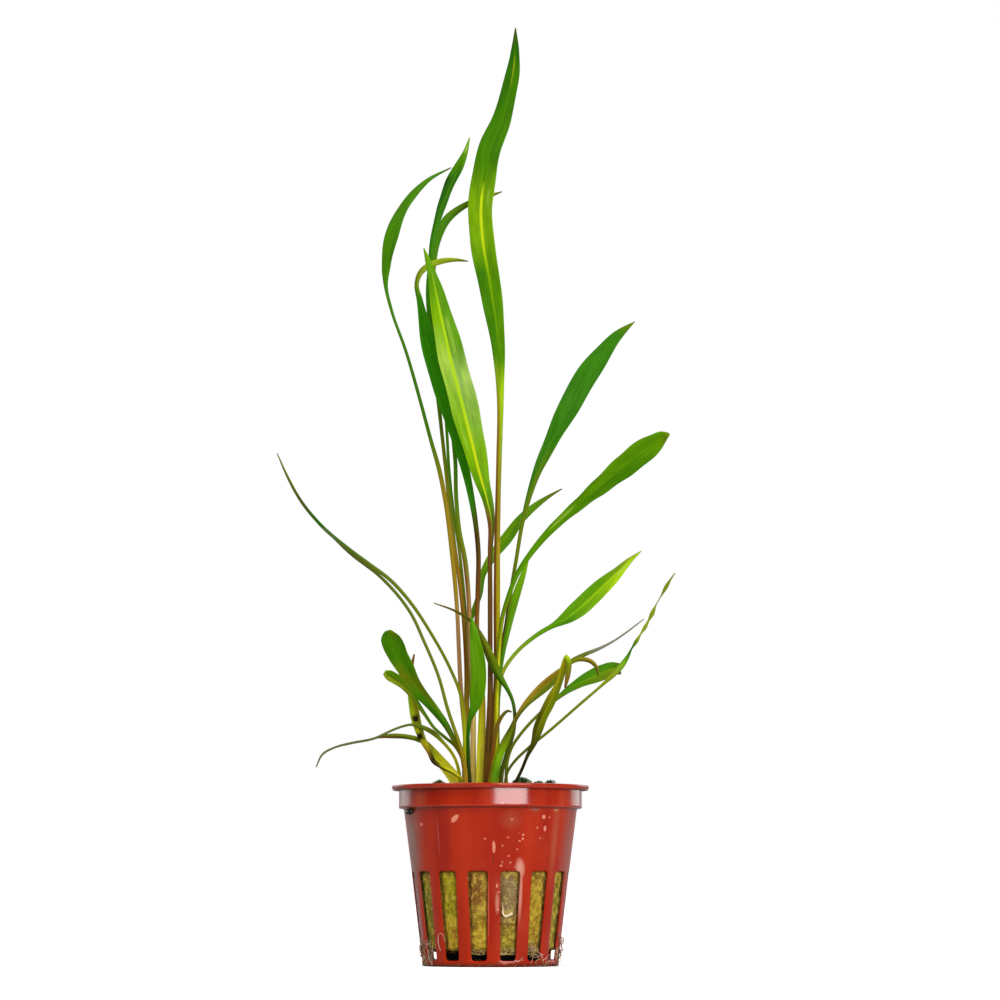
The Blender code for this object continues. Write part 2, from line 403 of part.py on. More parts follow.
def make_pot():
    """The net pot: a turned wall with a collar and a lip, and slots through its wall and its floor."""
    # The turned outline, from the hub's underside out, up the wall, over the lip and back inside.
    rows = {
        "hub_under": (RADIUS_HUB, 0.0),
        "floor_slot_under": (RADIUS_FLOOR_SLOT, 0.0),
        "foot": (RADIUS_FOOT, 0.0),
        "slot_foot_out": (outer_radius(Z_SLOT_FOOT), Z_SLOT_FOOT),
        "slot_top_out": (RADIUS_SLOT_TOP, Z_SLOT_TOP),
        "body_top": (RADIUS_BODY_TOP, Z_BODY_TOP),
        "collar_foot": (RADIUS_COLLAR, Z_COLLAR_FOOT),
        "collar_top": (RADIUS_COLLAR, Z_LIP_FOOT),
        "hook_in": (RADIUS_LIP - LIP_WALL, Z_LIP_FOOT),
        "hook_foot": (RADIUS_LIP - LIP_WALL / 2.0, Z_LIP_FOOT - LIP_HOOK),
        "hook_out": (RADIUS_LIP, Z_LIP_FOOT - LIP_HOOK + BEVEL),
        "lip_out": (RADIUS_LIP, Z_RIM - BEVEL),
        "rim": (RADIUS_LIP - BEVEL, Z_RIM),
        "rim_in": (RADIUS_COLLAR - WALL + BEVEL, Z_RIM),
        "throat": (RADIUS_COLLAR - WALL, Z_RIM - BEVEL),
        "collar_foot_in": (RADIUS_COLLAR - WALL, Z_COLLAR_FOOT + WALL),
        "body_top_in": (RADIUS_BODY_TOP - WALL, Z_COLLAR_FOOT + BEVEL),
        "slot_top_in": (RADIUS_SLOT_TOP - WALL, Z_SLOT_TOP),
        "slot_foot_in": (outer_radius(Z_SLOT_FOOT) - WALL, Z_SLOT_FOOT),
        "floor_corner": (outer_radius(FLOOR_THICKNESS) - WALL, FLOOR_THICKNESS),
        "floor_slot_over": (RADIUS_FLOOR_SLOT, FLOOR_THICKNESS),
        "hub_over": (RADIUS_HUB, FLOOR_THICKNESS),
    }
    names = list(rows)
    narrow, wide = slot_angles(SLOT_FOOT_WIDTH_DEG), slot_angles(SLOT_TOP_WIDTH_DEG)
    around = len(narrow)
    points = []
    for radius, height in rows.values():
        points += ring_of(radius, height, narrow if height <= Z_SLOT_FOOT else wide)
    under, over = len(points), len(points) + 1
    points += [(0.0, 0.0, 0.0), (0.0, 0.0, FLOOR_THICKNESS)]

    def at(name, station):
        return names.index(name) * around + station % around

    openings = {("slot_foot_out", "slot_top_out"), ("slot_top_in", "slot_foot_in")}
    openings |= {("hub_under", "floor_slot_under"), ("floor_slot_over", "hub_over")}
    faces = []
    for below, above in zip(names, names[1:]):
        for station in range(around):
            if (below, above) in openings and station % 4 < 2:
                continue
            low, low_after = at(below, station), at(below, station + 1)
            faces.append((low, low_after, at(above, station + 1), at(above, station)))
    for station in range(around):
        faces.append((under, at("hub_under", station + 1), at("hub_under", station)))
        faces.append((over, at("hub_over", station), at("hub_over", station + 1)))
    # The edges of each opening run through the wall or the floor.
    tunnels = (("slot_foot_out", "slot_top_out", "slot_top_in", "slot_foot_in"),
               ("hub_under", "floor_slot_under", "floor_slot_over", "hub_over"))
    for near_low, near_high, far_high, far_low in tunnels:
        for slot in range(SLOT_COUNT):
            first, middle, last = 4 * slot, 4 * slot + 1, 4 * slot + 2
            faces.append([at(name, first) for name in (near_low, near_high, far_high, far_low)])
            faces.append([at(name, last) for name in (near_high, near_low, far_low, far_high)])
            for a, b in ((first, middle), (middle, last)):
                faces.append((at(near_high, a), at(near_high, b), at(far_high, b), at(far_high, a)))
                faces.append((at(near_low, b), at(near_low, a), at(far_low, a), at(far_low, b)))
    return make_object("net_pot", points, faces, POT_RED, POT_ROUGHNESS)


def make_wool():
    """The rock wool: a plug that follows the pot's inside, with a hollow in its top for the rhizome."""
    angles = np.linspace(0.0, 2.0 * np.pi, WOOL_STATIONS, endpoint=False)
    rows = [ring_of(RADIUS_WOOL_SOLE, Z_WOOL_SOLE, angles)]
    for row, height in enumerate(np.linspace(Z_WOOL_FOOT, Z_WOOL_TOP - WOOL_EDGE, WOOL_ROWS)):
        inside = outer_radius(height) - WALL - WOOL_GAP
        waves = np.sin(WOOL_WAVES[0] * angles + WOOL_WAVE_TURN * row)
        waves *= np.cos(WOOL_WAVES[1] * angles - row)
        rows.append(ring_of(inside - WOOL_LUMP * (0.5 + 0.5 * waves), height, angles))
    rows.append(ring_of(inside - WOOL_EDGE, Z_WOOL_TOP, angles))
    rows.append(ring_of(RADIUS_HOLLOW + HOLLOW_FLARE, Z_WOOL_TOP, angles))
    rows.append(ring_of(RADIUS_HOLLOW, Z_HOLLOW, angles))
    foot, top = (0.0, 0.0, Z_WOOL_SOLE), (0.0, 0.0, Z_HOLLOW)
    return make_rounded("rock_wool", foot, rows, top, WOOL_TAN, WOOL_ROUGHNESS)


def make_crown():
    """The rhizome: a low lumpy cake in the hollow of the wool, flat on top where the leaves stand."""
    x, y = CROWN_CENTRE
    angles = np.linspace(0.0, 2.0 * np.pi, CROWN_STATIONS, endpoint=False)
    rows = []
    heights = (Z_CROWN_FOOT, Z_CROWN_WIDEST, Z_CROWN_SHOULDER, Z_CROWN_TOP)
    for share, height in zip(CROWN_SHARES, heights):
        reach = share * (1.0 - CROWN_LUMP * np.sin(CROWN_LUMPS * angles + CROWN_LUMP_TURN))
        rows.append([(x + CROWN_HALF_WIDTH * r * np.cos(a), y + CROWN_HALF_DEPTH * r * np.sin(a), height)
                     for r, a in zip(reach, angles)])
    foot, top = (x, y, Z_CROWN_FOOT), (x, y, Z_CROWN_TOP)
    return make_rounded("crown", foot, rows, top, CROWN_BROWN, CROWN_ROUGHNESS)


def seen_at_depth(across, up, depth):
    """The point at this depth that the eye sees at (across, up) in the upright plane of the pot's axis."""
    on_plane = np.array((across, 0.0, up))
    return EYE + (on_plane - EYE) * (depth - EYE[1]) / -EYE[1]


def smooth_run(knots):
    """The knots, each a row of numbers, with points of a smooth curve between those that are far apart."""
    knots = np.array(knots, float)
    spans = np.linalg.norm(np.diff(knots[:, :3], axis=0), axis=1)
    slopes = np.gradient(knots, np.concatenate(([0.0], np.cumsum(spans))), axis=0)
    run = [knots[0]]
    for i, span in enumerate(spans):
        parts = int(np.ceil(span / LONGEST_STEP))
        for t in np.arange(1, parts + 1) / parts:
            run.append(
                (2 * t**3 - 3 * t**2 + 1) * knots[i]
                + (t**3 - 2 * t**2 + t) * span * slopes[i]
                + (3 * t**2 - 2 * t**3) * knots[i + 1]
                + (t**3 - t**2) * span * slopes[i + 1]
            )
    return np.array(run)


def directions(centres):
    """Unit vectors along a run of points."""
    reach = np.concatenate(([0.0], np.cumsum(np.linalg.norm(np.diff(centres, axis=0), axis=1))))
    tangents = np.gradient(centres, reach, axis=0)
    return tangents / np.linalg.norm(tangents, axis=1)[:, None]


def skin_of(rows, sides):
    """The faces of a tube made of rows of points, closed at both ends."""
    faces = []
    for row in range(rows - 1):
        low, high = row * sides, (row + 1) * sides
        for corner in range(sides):
            after = (corner + 1) % sides
            faces.append((low + corner, low + after, high + after, high + corner))
    faces.append(tuple(range(sides))[::-1])
    faces.append(tuple(range((rows - 1) * sides, rows * sides)))
    return faces


def make_leaf(leaf):
    """One leaf: a round stalk that flattens into a folded blade, closed at its foot and its tip."""
    knots = [(*seen_at_depth(across, up, depth), width) for across, up, depth, width in leaf.stops]
    run = smooth_run(knots)
    centres, widths = run[:, :3], run[:, 3]
    tangents = directions(centres)
    side = None
    points = []
    for centre, tangent, width in zip(centres, tangents, widths):
        # The blade's side lies across its run and the line of sight, and keeps its sense from the foot up.
        across = np.cross(tangent, (0.0, 1.0, 0.0))
        across /= np.linalg.norm(across)
        if side is not None and np.dot(across, side) < 0.0:
            across = -across
        side = across
        face = np.cross(across, tangent)
        blade = np.interp(width, (ROUND_UP_TO, FLAT_FROM), (0.0, 1.0))
        turn = np.radians(leaf.turn) * blade
        wide = across * np.cos(turn) + face * np.sin(turn)
        high = np.cross(tangent, wide)
        half = 0.5 * width / np.cos(turn)
        thick = (1.0 - blade) * half + blade * BLADE_THICKNESS / 2.0 / np.sin(np.pi / 3.0)
        for corner in range(LEAF_SIDES):
            a = 2.0 * np.pi * corner / LEAF_SIDES
            points.append(centre + wide * half * np.cos(a) + high * thick * np.sin(a))
    return make_object(leaf.name, points, skin_of(len(run), LEAF_SIDES), leaf.colour, LEAF_ROUGHNESS)


def make_lump(name, lump, colour):
    """A rounded lump beside the pot's axis, for moss on the wool and tufts of fine roots."""
    bearing = np.radians(lump.bearing)
    outwards = np.array((np.sin(bearing), -np.cos(bearing), 0.0))
    sideways = np.array((np.cos(bearing), np.sin(bearing), 0.0))
    upwards = np.array((0.0, 0.0, 1.0))
    centre = outwards * lump.radius + upwards * lump.height
    angles = np.linspace(0.0, 2.0 * np.pi, LUMP_STATIONS, endpoint=False)
    levels = []
    for lean in np.pi * np.arange(1, LUMP_STEPS) / LUMP_STEPS:
        middle = centre - upwards * lump.half_tall * np.cos(lean)
        levels.append([middle + outwards * lump.half_thick * np.sin(lean) * np.cos(a)
                       + sideways * lump.half_wide * np.sin(lean) * np.sin(a) for a in angles])
    rise = upwards * lump.half_tall
    return make_rounded(name, centre - rise, levels, centre + rise, colour, LUMP_ROUGHNESS)


def make_root():
    """The pale root that shows in the slot right of the middle, curled in front of the wool."""
    run = smooth_run([(*knot, ROOT_THICKNESS) for knot in ROOT_KNOTS])
    centres = run[:, :3]
    points = []
    for centre, tangent in zip(centres, directions(centres)):
        side = np.cross(tangent, (0.0, 1.0, 0.0))
        side /= np.linalg.norm(side)
        high = np.cross(tangent, side)
        for corner in range(LEAF_SIDES):
            a = 2.0 * np.pi * corner / LEAF_SIDES
            points.append(centre + 0.5 * ROOT_THICKNESS * (side * np.cos(a) + high * np.sin(a)))
    return make_object("root_pale", points, skin_of(len(run), LEAF_SIDES), ROOT_CREAM, ROOT_ROUGHNESS)


def main():
    """Clears the scene and makes every piece."""
    for thing in list(bpy.data.objects):
        bpy.data.objects.remove(thing, do_unlink=True)
    make_pot()
    make_wool()
    make_crown()
    for leaf in LEAVES:
        make_leaf(leaf)
    for name, lump in MOSS.items():
        make_lump(name, lump, MOSS_GREEN)
    for name, lump in ROOT_TUFTS.items():
        make_lump(name, lump, ROOT_CREAM)
    make_root()


main()
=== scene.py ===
"""A potted cryptocoryne, dressed for its portrait.

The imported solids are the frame. Every leaf, the pot, the rock wool, the crown, the moss and the roots are
built again here with a finer form and a finish of their own, in the same places. Lengths are millimetres
until a mesh is made, and colours are written as they look, from 0 to 255.
"""

import logging
import math
from collections.abc import Iterable, Sequence
from dataclasses import dataclass
from enum import Enum
from typing import Any

import bmesh
import bpy
import numpy as np
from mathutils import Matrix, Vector, noise


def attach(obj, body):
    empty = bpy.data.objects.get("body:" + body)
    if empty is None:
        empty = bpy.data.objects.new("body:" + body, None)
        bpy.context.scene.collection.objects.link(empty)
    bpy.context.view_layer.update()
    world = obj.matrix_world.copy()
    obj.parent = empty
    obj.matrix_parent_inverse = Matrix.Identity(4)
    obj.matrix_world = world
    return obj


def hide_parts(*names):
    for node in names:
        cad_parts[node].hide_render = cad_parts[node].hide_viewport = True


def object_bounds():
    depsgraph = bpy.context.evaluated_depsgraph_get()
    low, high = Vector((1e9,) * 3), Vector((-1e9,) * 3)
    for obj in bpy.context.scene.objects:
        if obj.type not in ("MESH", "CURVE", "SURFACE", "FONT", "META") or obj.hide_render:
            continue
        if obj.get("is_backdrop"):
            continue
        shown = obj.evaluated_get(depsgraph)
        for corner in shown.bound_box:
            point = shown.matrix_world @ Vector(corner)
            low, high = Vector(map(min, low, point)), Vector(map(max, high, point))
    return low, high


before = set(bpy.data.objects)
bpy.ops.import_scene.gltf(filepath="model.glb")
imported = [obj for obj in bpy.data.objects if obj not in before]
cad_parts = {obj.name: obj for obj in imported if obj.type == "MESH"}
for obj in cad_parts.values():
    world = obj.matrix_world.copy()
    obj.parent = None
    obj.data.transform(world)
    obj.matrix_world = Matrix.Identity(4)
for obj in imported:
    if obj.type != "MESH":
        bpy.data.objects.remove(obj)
CAD_BOX = [list(corner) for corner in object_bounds()]

LOG = logging.getLogger("cryptocoryne")
MM = 0.001
BODY = "root"

# Where the photograph was taken from: the eye in millimetres, how far it looks up, and its focal length.
EYE = np.array((2.7, -960.0, 19.2))
EYE_PITCH_DEG = 6.7
LENS_MM = 121.7
SENSOR_MM = 36.0

Socket = bpy.types.NodeSocket
Node = bpy.types.Node
Tree = bpy.types.NodeTree
Material = bpy.types.Material
Piece = bpy.types.Object
Colour = tuple[int, int, int]
Tones = tuple[tuple[float, Colour], ...]
Point = tuple[float, float, float]
Stop = tuple[float, float, float, float]
Pair = tuple[float, float]

WHITE = (1.0, 1.0, 1.0, 1.0)
BLACK = (0.0, 0.0, 0.0, 1.0)

# Tints of the living and the dying leaf.
CREAM = (232, 208, 120)
PEACH = (214, 168, 104)
YELLOW = (206, 208, 8)
GOLD = (190, 168, 14)
OCHRE = (158, 120, 18)
OLIVE = (112, 128, 4)
MUD = (78, 82, 6)
BROWN = (124, 76, 24)
DARK_BROWN = (70, 40, 12)
DEEP = (38, 102, 0)
LEAF = (70, 130, 0)
FRESH = (94, 150, 0)
BRIGHT = (122, 172, 0)
LIME = (166, 202, 14)
# The pale tint below is laid on the leaves as painted highlight.
PALE_SHEEN = (164, 199, 72)
SILVER = (150, 184, 86)
GREY_GREEN = (96, 116, 24)
DRY = (138, 104, 60)
TAN = (172, 126, 78)
FERN = (58, 146, 2)
SAP = (146, 166, 24)
BAND = (124, 170, 4)
SALLOW = (166, 160, 10)
ASH = (134, 128, 108)
INK = (46, 38, 10)
BUTTER = (248, 238, 70)
UMBER = (100, 66, 22)
HONEY = (152, 126, 22)
GRASS = (54, 122, 0)
SHARP = (196, 216, 22)
BRONZE = (108, 88, 12)
ASHEN = (96, 104, 58)


class Slot(Enum):
    """The record's material slots."""

    POT = "net_pot"
    WOOL = "rock_wool"
    CROWN = "crown"
    GREEN = "leaf_green"
    DARK = "leaf_dark"
    BRIGHT = "leaf_bright"
    OLIVE = "leaf_olive"
    YELLOW = "leaf_yellow"
    MOSS = "moss"
    ROOT = "root"


class LeafMarkKind(Enum):
    """What a mark on a leaf is, by the name of the attribute that carries it."""

    # A bruise is real decay; the pale sheen mark is a painted highlight where the leaf catches the light.
    BRUISE = "bruise"
    PAINTED_SHEEN = "bleach"


@dataclass(frozen=True)
class Mark:
    """A patch on a leaf, a bruise or a painted highlight: its stop, its place across from -1 to 1, its half
    length and half width.
    """

    mark_kind: LeafMarkKind
    stop: float
    across: float
    half_long: float
    half_wide: float
    strength: float = 1.0


@dataclass(frozen=True)
class LeafPlan:
    """One leaf as it grows, from its foot to its tip.

    Each stop is one point in millimetres: how far across and how far up the eye sees it in the upright plane
    of the pot's axis, how far behind that plane it is, and how wide it looks there. The turn is how far the
    blade faces away from the eye, in degrees.
    """

    name: str
    slot: Slot
    turn: float
    stops: tuple[Stop, ...]


@dataclass(frozen=True)
class LeafLook:
    """How a leaf is coloured along its run, by stop, and how its blade is shaped.

    The tones of the right side stand for both sides where none are given for the left. The fold is how far
    each half of the blade lifts towards the eye, in degrees, and the ripple is how far its edges wave.
    """

    right: Tones
    rib: Tones
    left: Tones = ()
    rib_width: float = 0.11
    fold: float = 14.0
    ripple: float = 0.22
    wave: float = 17.0
    marks: tuple[Mark, ...] = ()


def tint(colour: Colour, share: float = 1.0) -> Stop:
    """A colour as the shaders take it, linear and with an alpha of 1, with a share of its light kept."""
    linear = [((c / 255.0 + 0.055) / 1.055) ** 2.4 if c > 10 else c / 255.0 / 12.92 for c in colour]
    return (linear[0] * share, linear[1] * share, linear[2] * share, 1.0)


class Sketch:
    """Short calls for adding and joining the nodes of one tree."""

    def __init__(self, tree: Tree) -> None:
        """Takes the tree that the nodes go into."""
        self.tree = tree

    def put(self, socket: Socket, value: Any) -> None:
        """Links a socket to another, or sets its value.

        Args:
            socket: The input to feed.
            value: An output socket, or a plain value.
        """
        if isinstance(value, Socket):
            self.tree.links.new(value, socket)
        else:
            socket.default_value = value

    def add(self, kind: str, inputs: dict[Any, Any] | None = None, **settings: Any) -> Node:
        """Adds a node.

        Args:
            kind: The node's type.
            inputs: What feeds each of its inputs, by name or number.
            settings: Its other properties.

        Returns:
            The new node.
        """
        node = self.tree.nodes.new(kind)
        for name, value in settings.items():
            setattr(node, name, value)
        for key, value in (inputs or {}).items():
            self.put(node.inputs[key], value)
        return node

    def out(self, kind: str, inputs: dict[Any, Any] | None = None, **settings: Any) -> Socket:
        """The first output of a node that is added."""
        return self.add(kind, inputs, **settings).outputs[0]

    def math(self, operation: str, *values: Any, clamp: bool = False) -> Socket:
        """The result of a sum on numbers or sockets, kept from 0 to 1 if it is clamped."""
        return self.out("ShaderNodeMath", dict(enumerate(values)), operation=operation, use_clamp=clamp)

    def times(self, first: Any, second: Any) -> Socket:
        """Two numbers or sockets multiplied."""
        return self.math("MULTIPLY", first, second)

    def blend(self, factor: Any, first: Any, second: Any, mode: str = "MIX") -> Socket:
        """Two colours mixed, the second by the factor's share."""
        inputs = {0: factor, 6: first, 7: second}
        return self.add("ShaderNodeMix", inputs, data_type="RGBA", blend_type=mode).outputs[2]

    def between(self, value: Any, low: float, high: float, start: float = 0.0, end: float = 1.0) -> Socket:
        """A number eased from start to end while another goes from low to high."""
        inputs = {"Value": value, "From Min": low, "From Max": high, "To Min": start, "To Max": end}
        return self.out("ShaderNodeMapRange", inputs, interpolation_type="SMOOTHSTEP")

    def ramp(self, factor: Any, tones: Tones, span: float = 1.0, share: float = 1.0) -> Socket:
        """A colour that runs through several tones.

        Args:
            factor: The place along them, from 0 to 1.
            tones: Pairs of a place and a colour, in order.
            span: The place that stands for 1.
            share: How much of each colour's light is kept.

        Returns:
            The colour's socket.
        """
        node = self.add("ShaderNodeValToRGB", {0: factor})
        stops = node.color_ramp.elements
        while len(stops) > 1:
            stops.remove(stops[-1])
        stops[0].position = tones[0][0] / span
        stops[0].color = tint(tones[0][1], share)
        for place, colour in tones[1:]:
            stops.new(min(1.0, place / span)).color = tint(colour, share)
        return node.outputs[0]

    def grain(self, where: Any, scale: float, detail: float = 2.0, roughness: float = 0.5) -> Socket:
        """Soft cloudy noise, about 0.5 on average, with some finer layers."""
        inputs = {"Vector": where, "Scale": scale, "Detail": detail, "Roughness": roughness}
        return self.out("ShaderNodeTexNoise", inputs)

    def stretched(self, where: Any, scale: Point) -> Socket:
        """Coordinates taken a number of times along each axis."""
        return self.out("ShaderNodeMapping", {"Vector": where, "Scale": scale})

    def attribute(self, name: str) -> Socket:
        """A number that the piece's mesh carries, by its name."""
        return self.add("ShaderNodeAttribute", attribute_name=name).outputs["Fac"]

    def place(self) -> Socket:
        """The place on the piece, in its own coordinates."""
        return self.add("ShaderNodeTexCoord").outputs["Object"]

    def parts(self, vector: Socket) -> Any:
        """The outputs X, Y and Z, which are the vector's parts."""
        return self.add("ShaderNodeSeparateXYZ", {0: vector}).outputs


class ShaderGroups:
    """The effects that the finishes are made with, each built once as a group."""

    # How fine a leaf's clouds, streaks and cells are across it and along it, and how close its veins lie.
    CLOUDS = (1.4, 0.09, 1.0)
    STREAKS = (9.0, 0.12, 1.0)
    CELLS = (10.0, 2.6, 1.0)
    VEINS = 21.0
    # What the leaf's ground is multiplied by where it is darker and where it is paler.
    SHADE = (0.50, 0.62, 0.45, 1.0)
    LIGHT = (1.45, 1.22, 1.0, 1.0)
    # How fine a mark's ragged edge is.
    RAGGED = 900.0

    def __init__(self) -> None:
        """Builds the groups."""
        self.tissue = self.leaf_tissue()
        self.speckle = self.residue()
        self.patch = self.smear()

    @staticmethod
    def start(name: str, inputs: dict[str, tuple[str, Any]],
              outputs: dict[str, str]) -> tuple[Sketch, Any, Any]:
        """Begins a group.

        Args:
            name: The group's name.
            inputs: The kind and the first value of each input, by name.
            outputs: The kind of each output, by name.

        Returns:
            The sketch of its tree, its input node's outputs and its output node's inputs.
        """
        tree = bpy.data.node_groups.new(name, "ShaderNodeTree")
        for label, (kind, value) in inputs.items():
            socket = tree.interface.new_socket(label, in_out="INPUT", socket_type="NodeSocket" + kind)
            socket.default_value = value
        for label, kind in outputs.items():
            tree.interface.new_socket(label, in_out="OUTPUT", socket_type="NodeSocket" + kind)
        sketch = Sketch(tree)
        return sketch, sketch.add("NodeGroupInput").outputs, sketch.add("NodeGroupOutput").inputs

    def leaf_tissue(self) -> Tree:
        """A leaf's skin: its midrib, its long veins, its mottling and its paler edge.

        Returns:
            The group. It gives a colour, a height for the bump, and a roughness.
        """
        sketch, given, wanted = self.start("leaf_tissue", {
            "Ground": ("Color", BLACK), "Rib": ("Color", BLACK), "Across": ("Float", 0.0),
            "Along": ("Float", 0.0), "Blade": ("Float", 1.0), "Rib Width": ("Float", 0.1),
            "Mottle": ("Float", 0.5),
        }, {"Color": "Color", "Height": "Float", "Roughness": "Float"})
        ground, across, blade = given["Ground"], given["Across"], given["Blade"]
        reach = sketch.math("ABSOLUTE", across)
        # The stalks are smoother than the blades.
        mottle = sketch.times(given["Mottle"], sketch.between(blade, 0.0, 0.6, 0.3, 1.0))
        # The rib fades out over its own width, and narrows as the blade begins and ends.
        rib = sketch.between(sketch.math("DIVIDE", reach, given["Rib Width"]), 0.35, 1.5, 1.0, 0.0)
        rib = sketch.times(rib, blade)
        place = sketch.out("ShaderNodeCombineXYZ", {0: across, 1: given["Along"]})
        clouds = sketch.grain(sketch.stretched(place, self.CLOUDS), 1.0, 3.0, 0.6)
        streaks = sketch.grain(sketch.stretched(place, self.STREAKS), 1.0)
        cells = sketch.grain(sketch.stretched(place, self.CELLS), 1.0, 2.0, 0.7)
        vein = sketch.between(sketch.math("SINE", sketch.times(across, self.VEINS)), 0.55, 1.0)
        vein = sketch.times(vein, blade)
        dark = sketch.blend(1.0, ground, self.SHADE, "MULTIPLY")
        light = sketch.blend(1.0, ground, self.LIGHT, "MULTIPLY")
        glow = sketch.times(sketch.between(streaks, 0.5, 0.72), mottle)
        rim = sketch.times(sketch.between(reach, 0.9, 1.0), blade)
        skin = sketch.blend(sketch.times(sketch.between(clouds, 0.36, 0.62), mottle), ground, dark)
        skin = sketch.blend(sketch.times(glow, 0.8), skin, light)
        skin = sketch.blend(sketch.times(sketch.between(cells, 0.4, 0.65), 0.18), skin, dark)
        skin = sketch.blend(sketch.times(vein, 0.22), skin, light)
        skin = sketch.blend(sketch.times(rim, 0.35), skin, light)
        sketch.put(wanted["Color"], sketch.blend(rib, skin, given["Rib"]))
        height = sketch.math("ADD", sketch.times(vein, -0.35), sketch.times(cells, 0.3))
        sketch.put(wanted["Height"], sketch.math("ADD", height, sketch.times(streaks, 0.7)))
        sketch.put(wanted["Roughness"], sketch.between(clouds, 0.3, 0.7, 0.36, 0.55))
        return sketch.tree

    def residue(self) -> Tree:
        """Small dried specks, thick in some places and absent in others.

        Returns:
            The group. It gives a mask.
        """
        sketch, given, wanted = self.start("residue", {
            "Vector": ("Vector", (0.0, 0.0, 0.0)), "Scale": ("Float", 900.0), "Size": ("Float", 0.25),
            "Amount": ("Float", 0.3),
        }, {"Mask": "Float"})
        inputs = {"Vector": given["Vector"], "Scale": given["Scale"], "Randomness": 1.0}
        cells = sketch.add("ShaderNodeTexVoronoi", inputs).outputs
        chance = sketch.add("ShaderNodeSeparateColor", {0: cells["Color"]}).outputs
        dot = sketch.math("LESS_THAN", cells["Distance"], sketch.times(given["Size"], chance["Green"]))
        kept = sketch.math("LESS_THAN", chance["Red"], given["Amount"])
        sketch.put(wanted["Mask"], sketch.times(dot, kept))
        return sketch.tree

    def smear(self) -> Tree:
        """One mark at a bearing and a height, with a ragged edge.

        Returns:
            The group. It gives a mask.
        """
        sketch, given, wanted = self.start("smear_mask", {
            "Vector": ("Vector", (0.0, 0.0, 0.0)), "Bearing": ("Float", 0.0), "Height": ("Float", 40.0),
            "Half Wide": ("Float", 5.0), "Half Tall": ("Float", 1.0), "Soft": ("Float", 0.4),
            "Lean": ("Float", 0.0), "Strength": ("Float", 1.0),
        }, {"Mask": "Float"})
        place = sketch.parts(given["Vector"])
        bearing = sketch.math("ARCTAN2", place["X"], sketch.times(place["Y"], -1.0))
        rise = sketch.math("SUBTRACT", sketch.math("DIVIDE", place["Z"], MM), given["Height"])
        turn = sketch.math("SUBTRACT", sketch.math("DEGREES", bearing), given["Bearing"])
        turn = sketch.math("SUBTRACT", turn, sketch.times(rise, given["Lean"]))
        across = sketch.math("DIVIDE", turn, given["Half Wide"])
        up = sketch.math("DIVIDE", rise, given["Half Tall"])
        far = sketch.math("SQRT", sketch.math("ADD", sketch.times(across, across), sketch.times(up, up)))
        ragged = sketch.math("SUBTRACT", sketch.grain(given["Vector"], self.RAGGED), 0.5)
        # A soft film has a smooth edge, and a speck a ragged one.
        wild = sketch.between(given["Soft"], 0.25, 0.5, 0.7, 0.1)
        far = sketch.math("ADD", far, sketch.times(ragged, wild))
        inside = sketch.math("DIVIDE", sketch.math("SUBTRACT", 1.0, far), given["Soft"], clamp=True)
        sketch.put(wanted["Mask"], sketch.math("MULTIPLY", inside, given["Strength"], clamp=True))
        return sketch.tree


@dataclass(frozen=True)
class Smear:
    """A mark beside the pot's axis: its middle and how far it reaches, in degrees and millimetres."""

    bearing: float
    height: float
    half_wide: float
    half_tall: float
    tone: Colour
    strength: float = 1.0
    soft: float = 0.4
    lean: float = 0.0


class Finish:
    """What every finish shares: a material with one Principled shader."""

    def begin(self, name: str, roughness: float) -> tuple[Material, Sketch, Any]:
        """Begins a material.

        Args:
            name: The material's name.
            roughness: Its roughness where nodes don't drive it.

        Returns:
            The material, the sketch of its tree and its shader's inputs.
        """
        material = bpy.data.materials.new(name)
        material.use_nodes = True
        given = material.node_tree.nodes["Principled BSDF"].inputs
        given["Roughness"].default_value = roughness
        return material, Sketch(material.node_tree), given

    def smeared(self, sketch: Sketch, where: Any, body: Any, smears: Sequence[Smear], group: Tree) -> Any:
        """Lays marks over a colour, one after the other.

        Args:
            sketch: The sketch of the material's tree.
            where: The place on the surface, from the pot's axis.
            body: The colour below.
            smears: The marks.
            group: The group that gives a mark's mask.

        Returns:
            The colour with the marks on it.
        """
        for smear in smears:
            inputs = {"Vector": where, "Bearing": smear.bearing, "Height": smear.height,
                      "Half Wide": smear.half_wide, "Half Tall": smear.half_tall, "Soft": smear.soft,
                      "Lean": smear.lean, "Strength": smear.strength}
            mask = sketch.out("ShaderNodeGroup", inputs, node_tree=group)
            body = sketch.blend(mask, body, tint(smear.tone))
        return body

    def bump(self, sketch: Sketch, given: Any, height: Any, depth_mm: float, strength: float = 1.0) -> None:
        """Gives a shader a fine relief, as deep as depth_mm where the height is 1."""
        inputs = {"Height": height, "Distance": depth_mm * MM, "Strength": strength}
        sketch.put(given["Normal"], sketch.out("ShaderNodeBump", inputs))


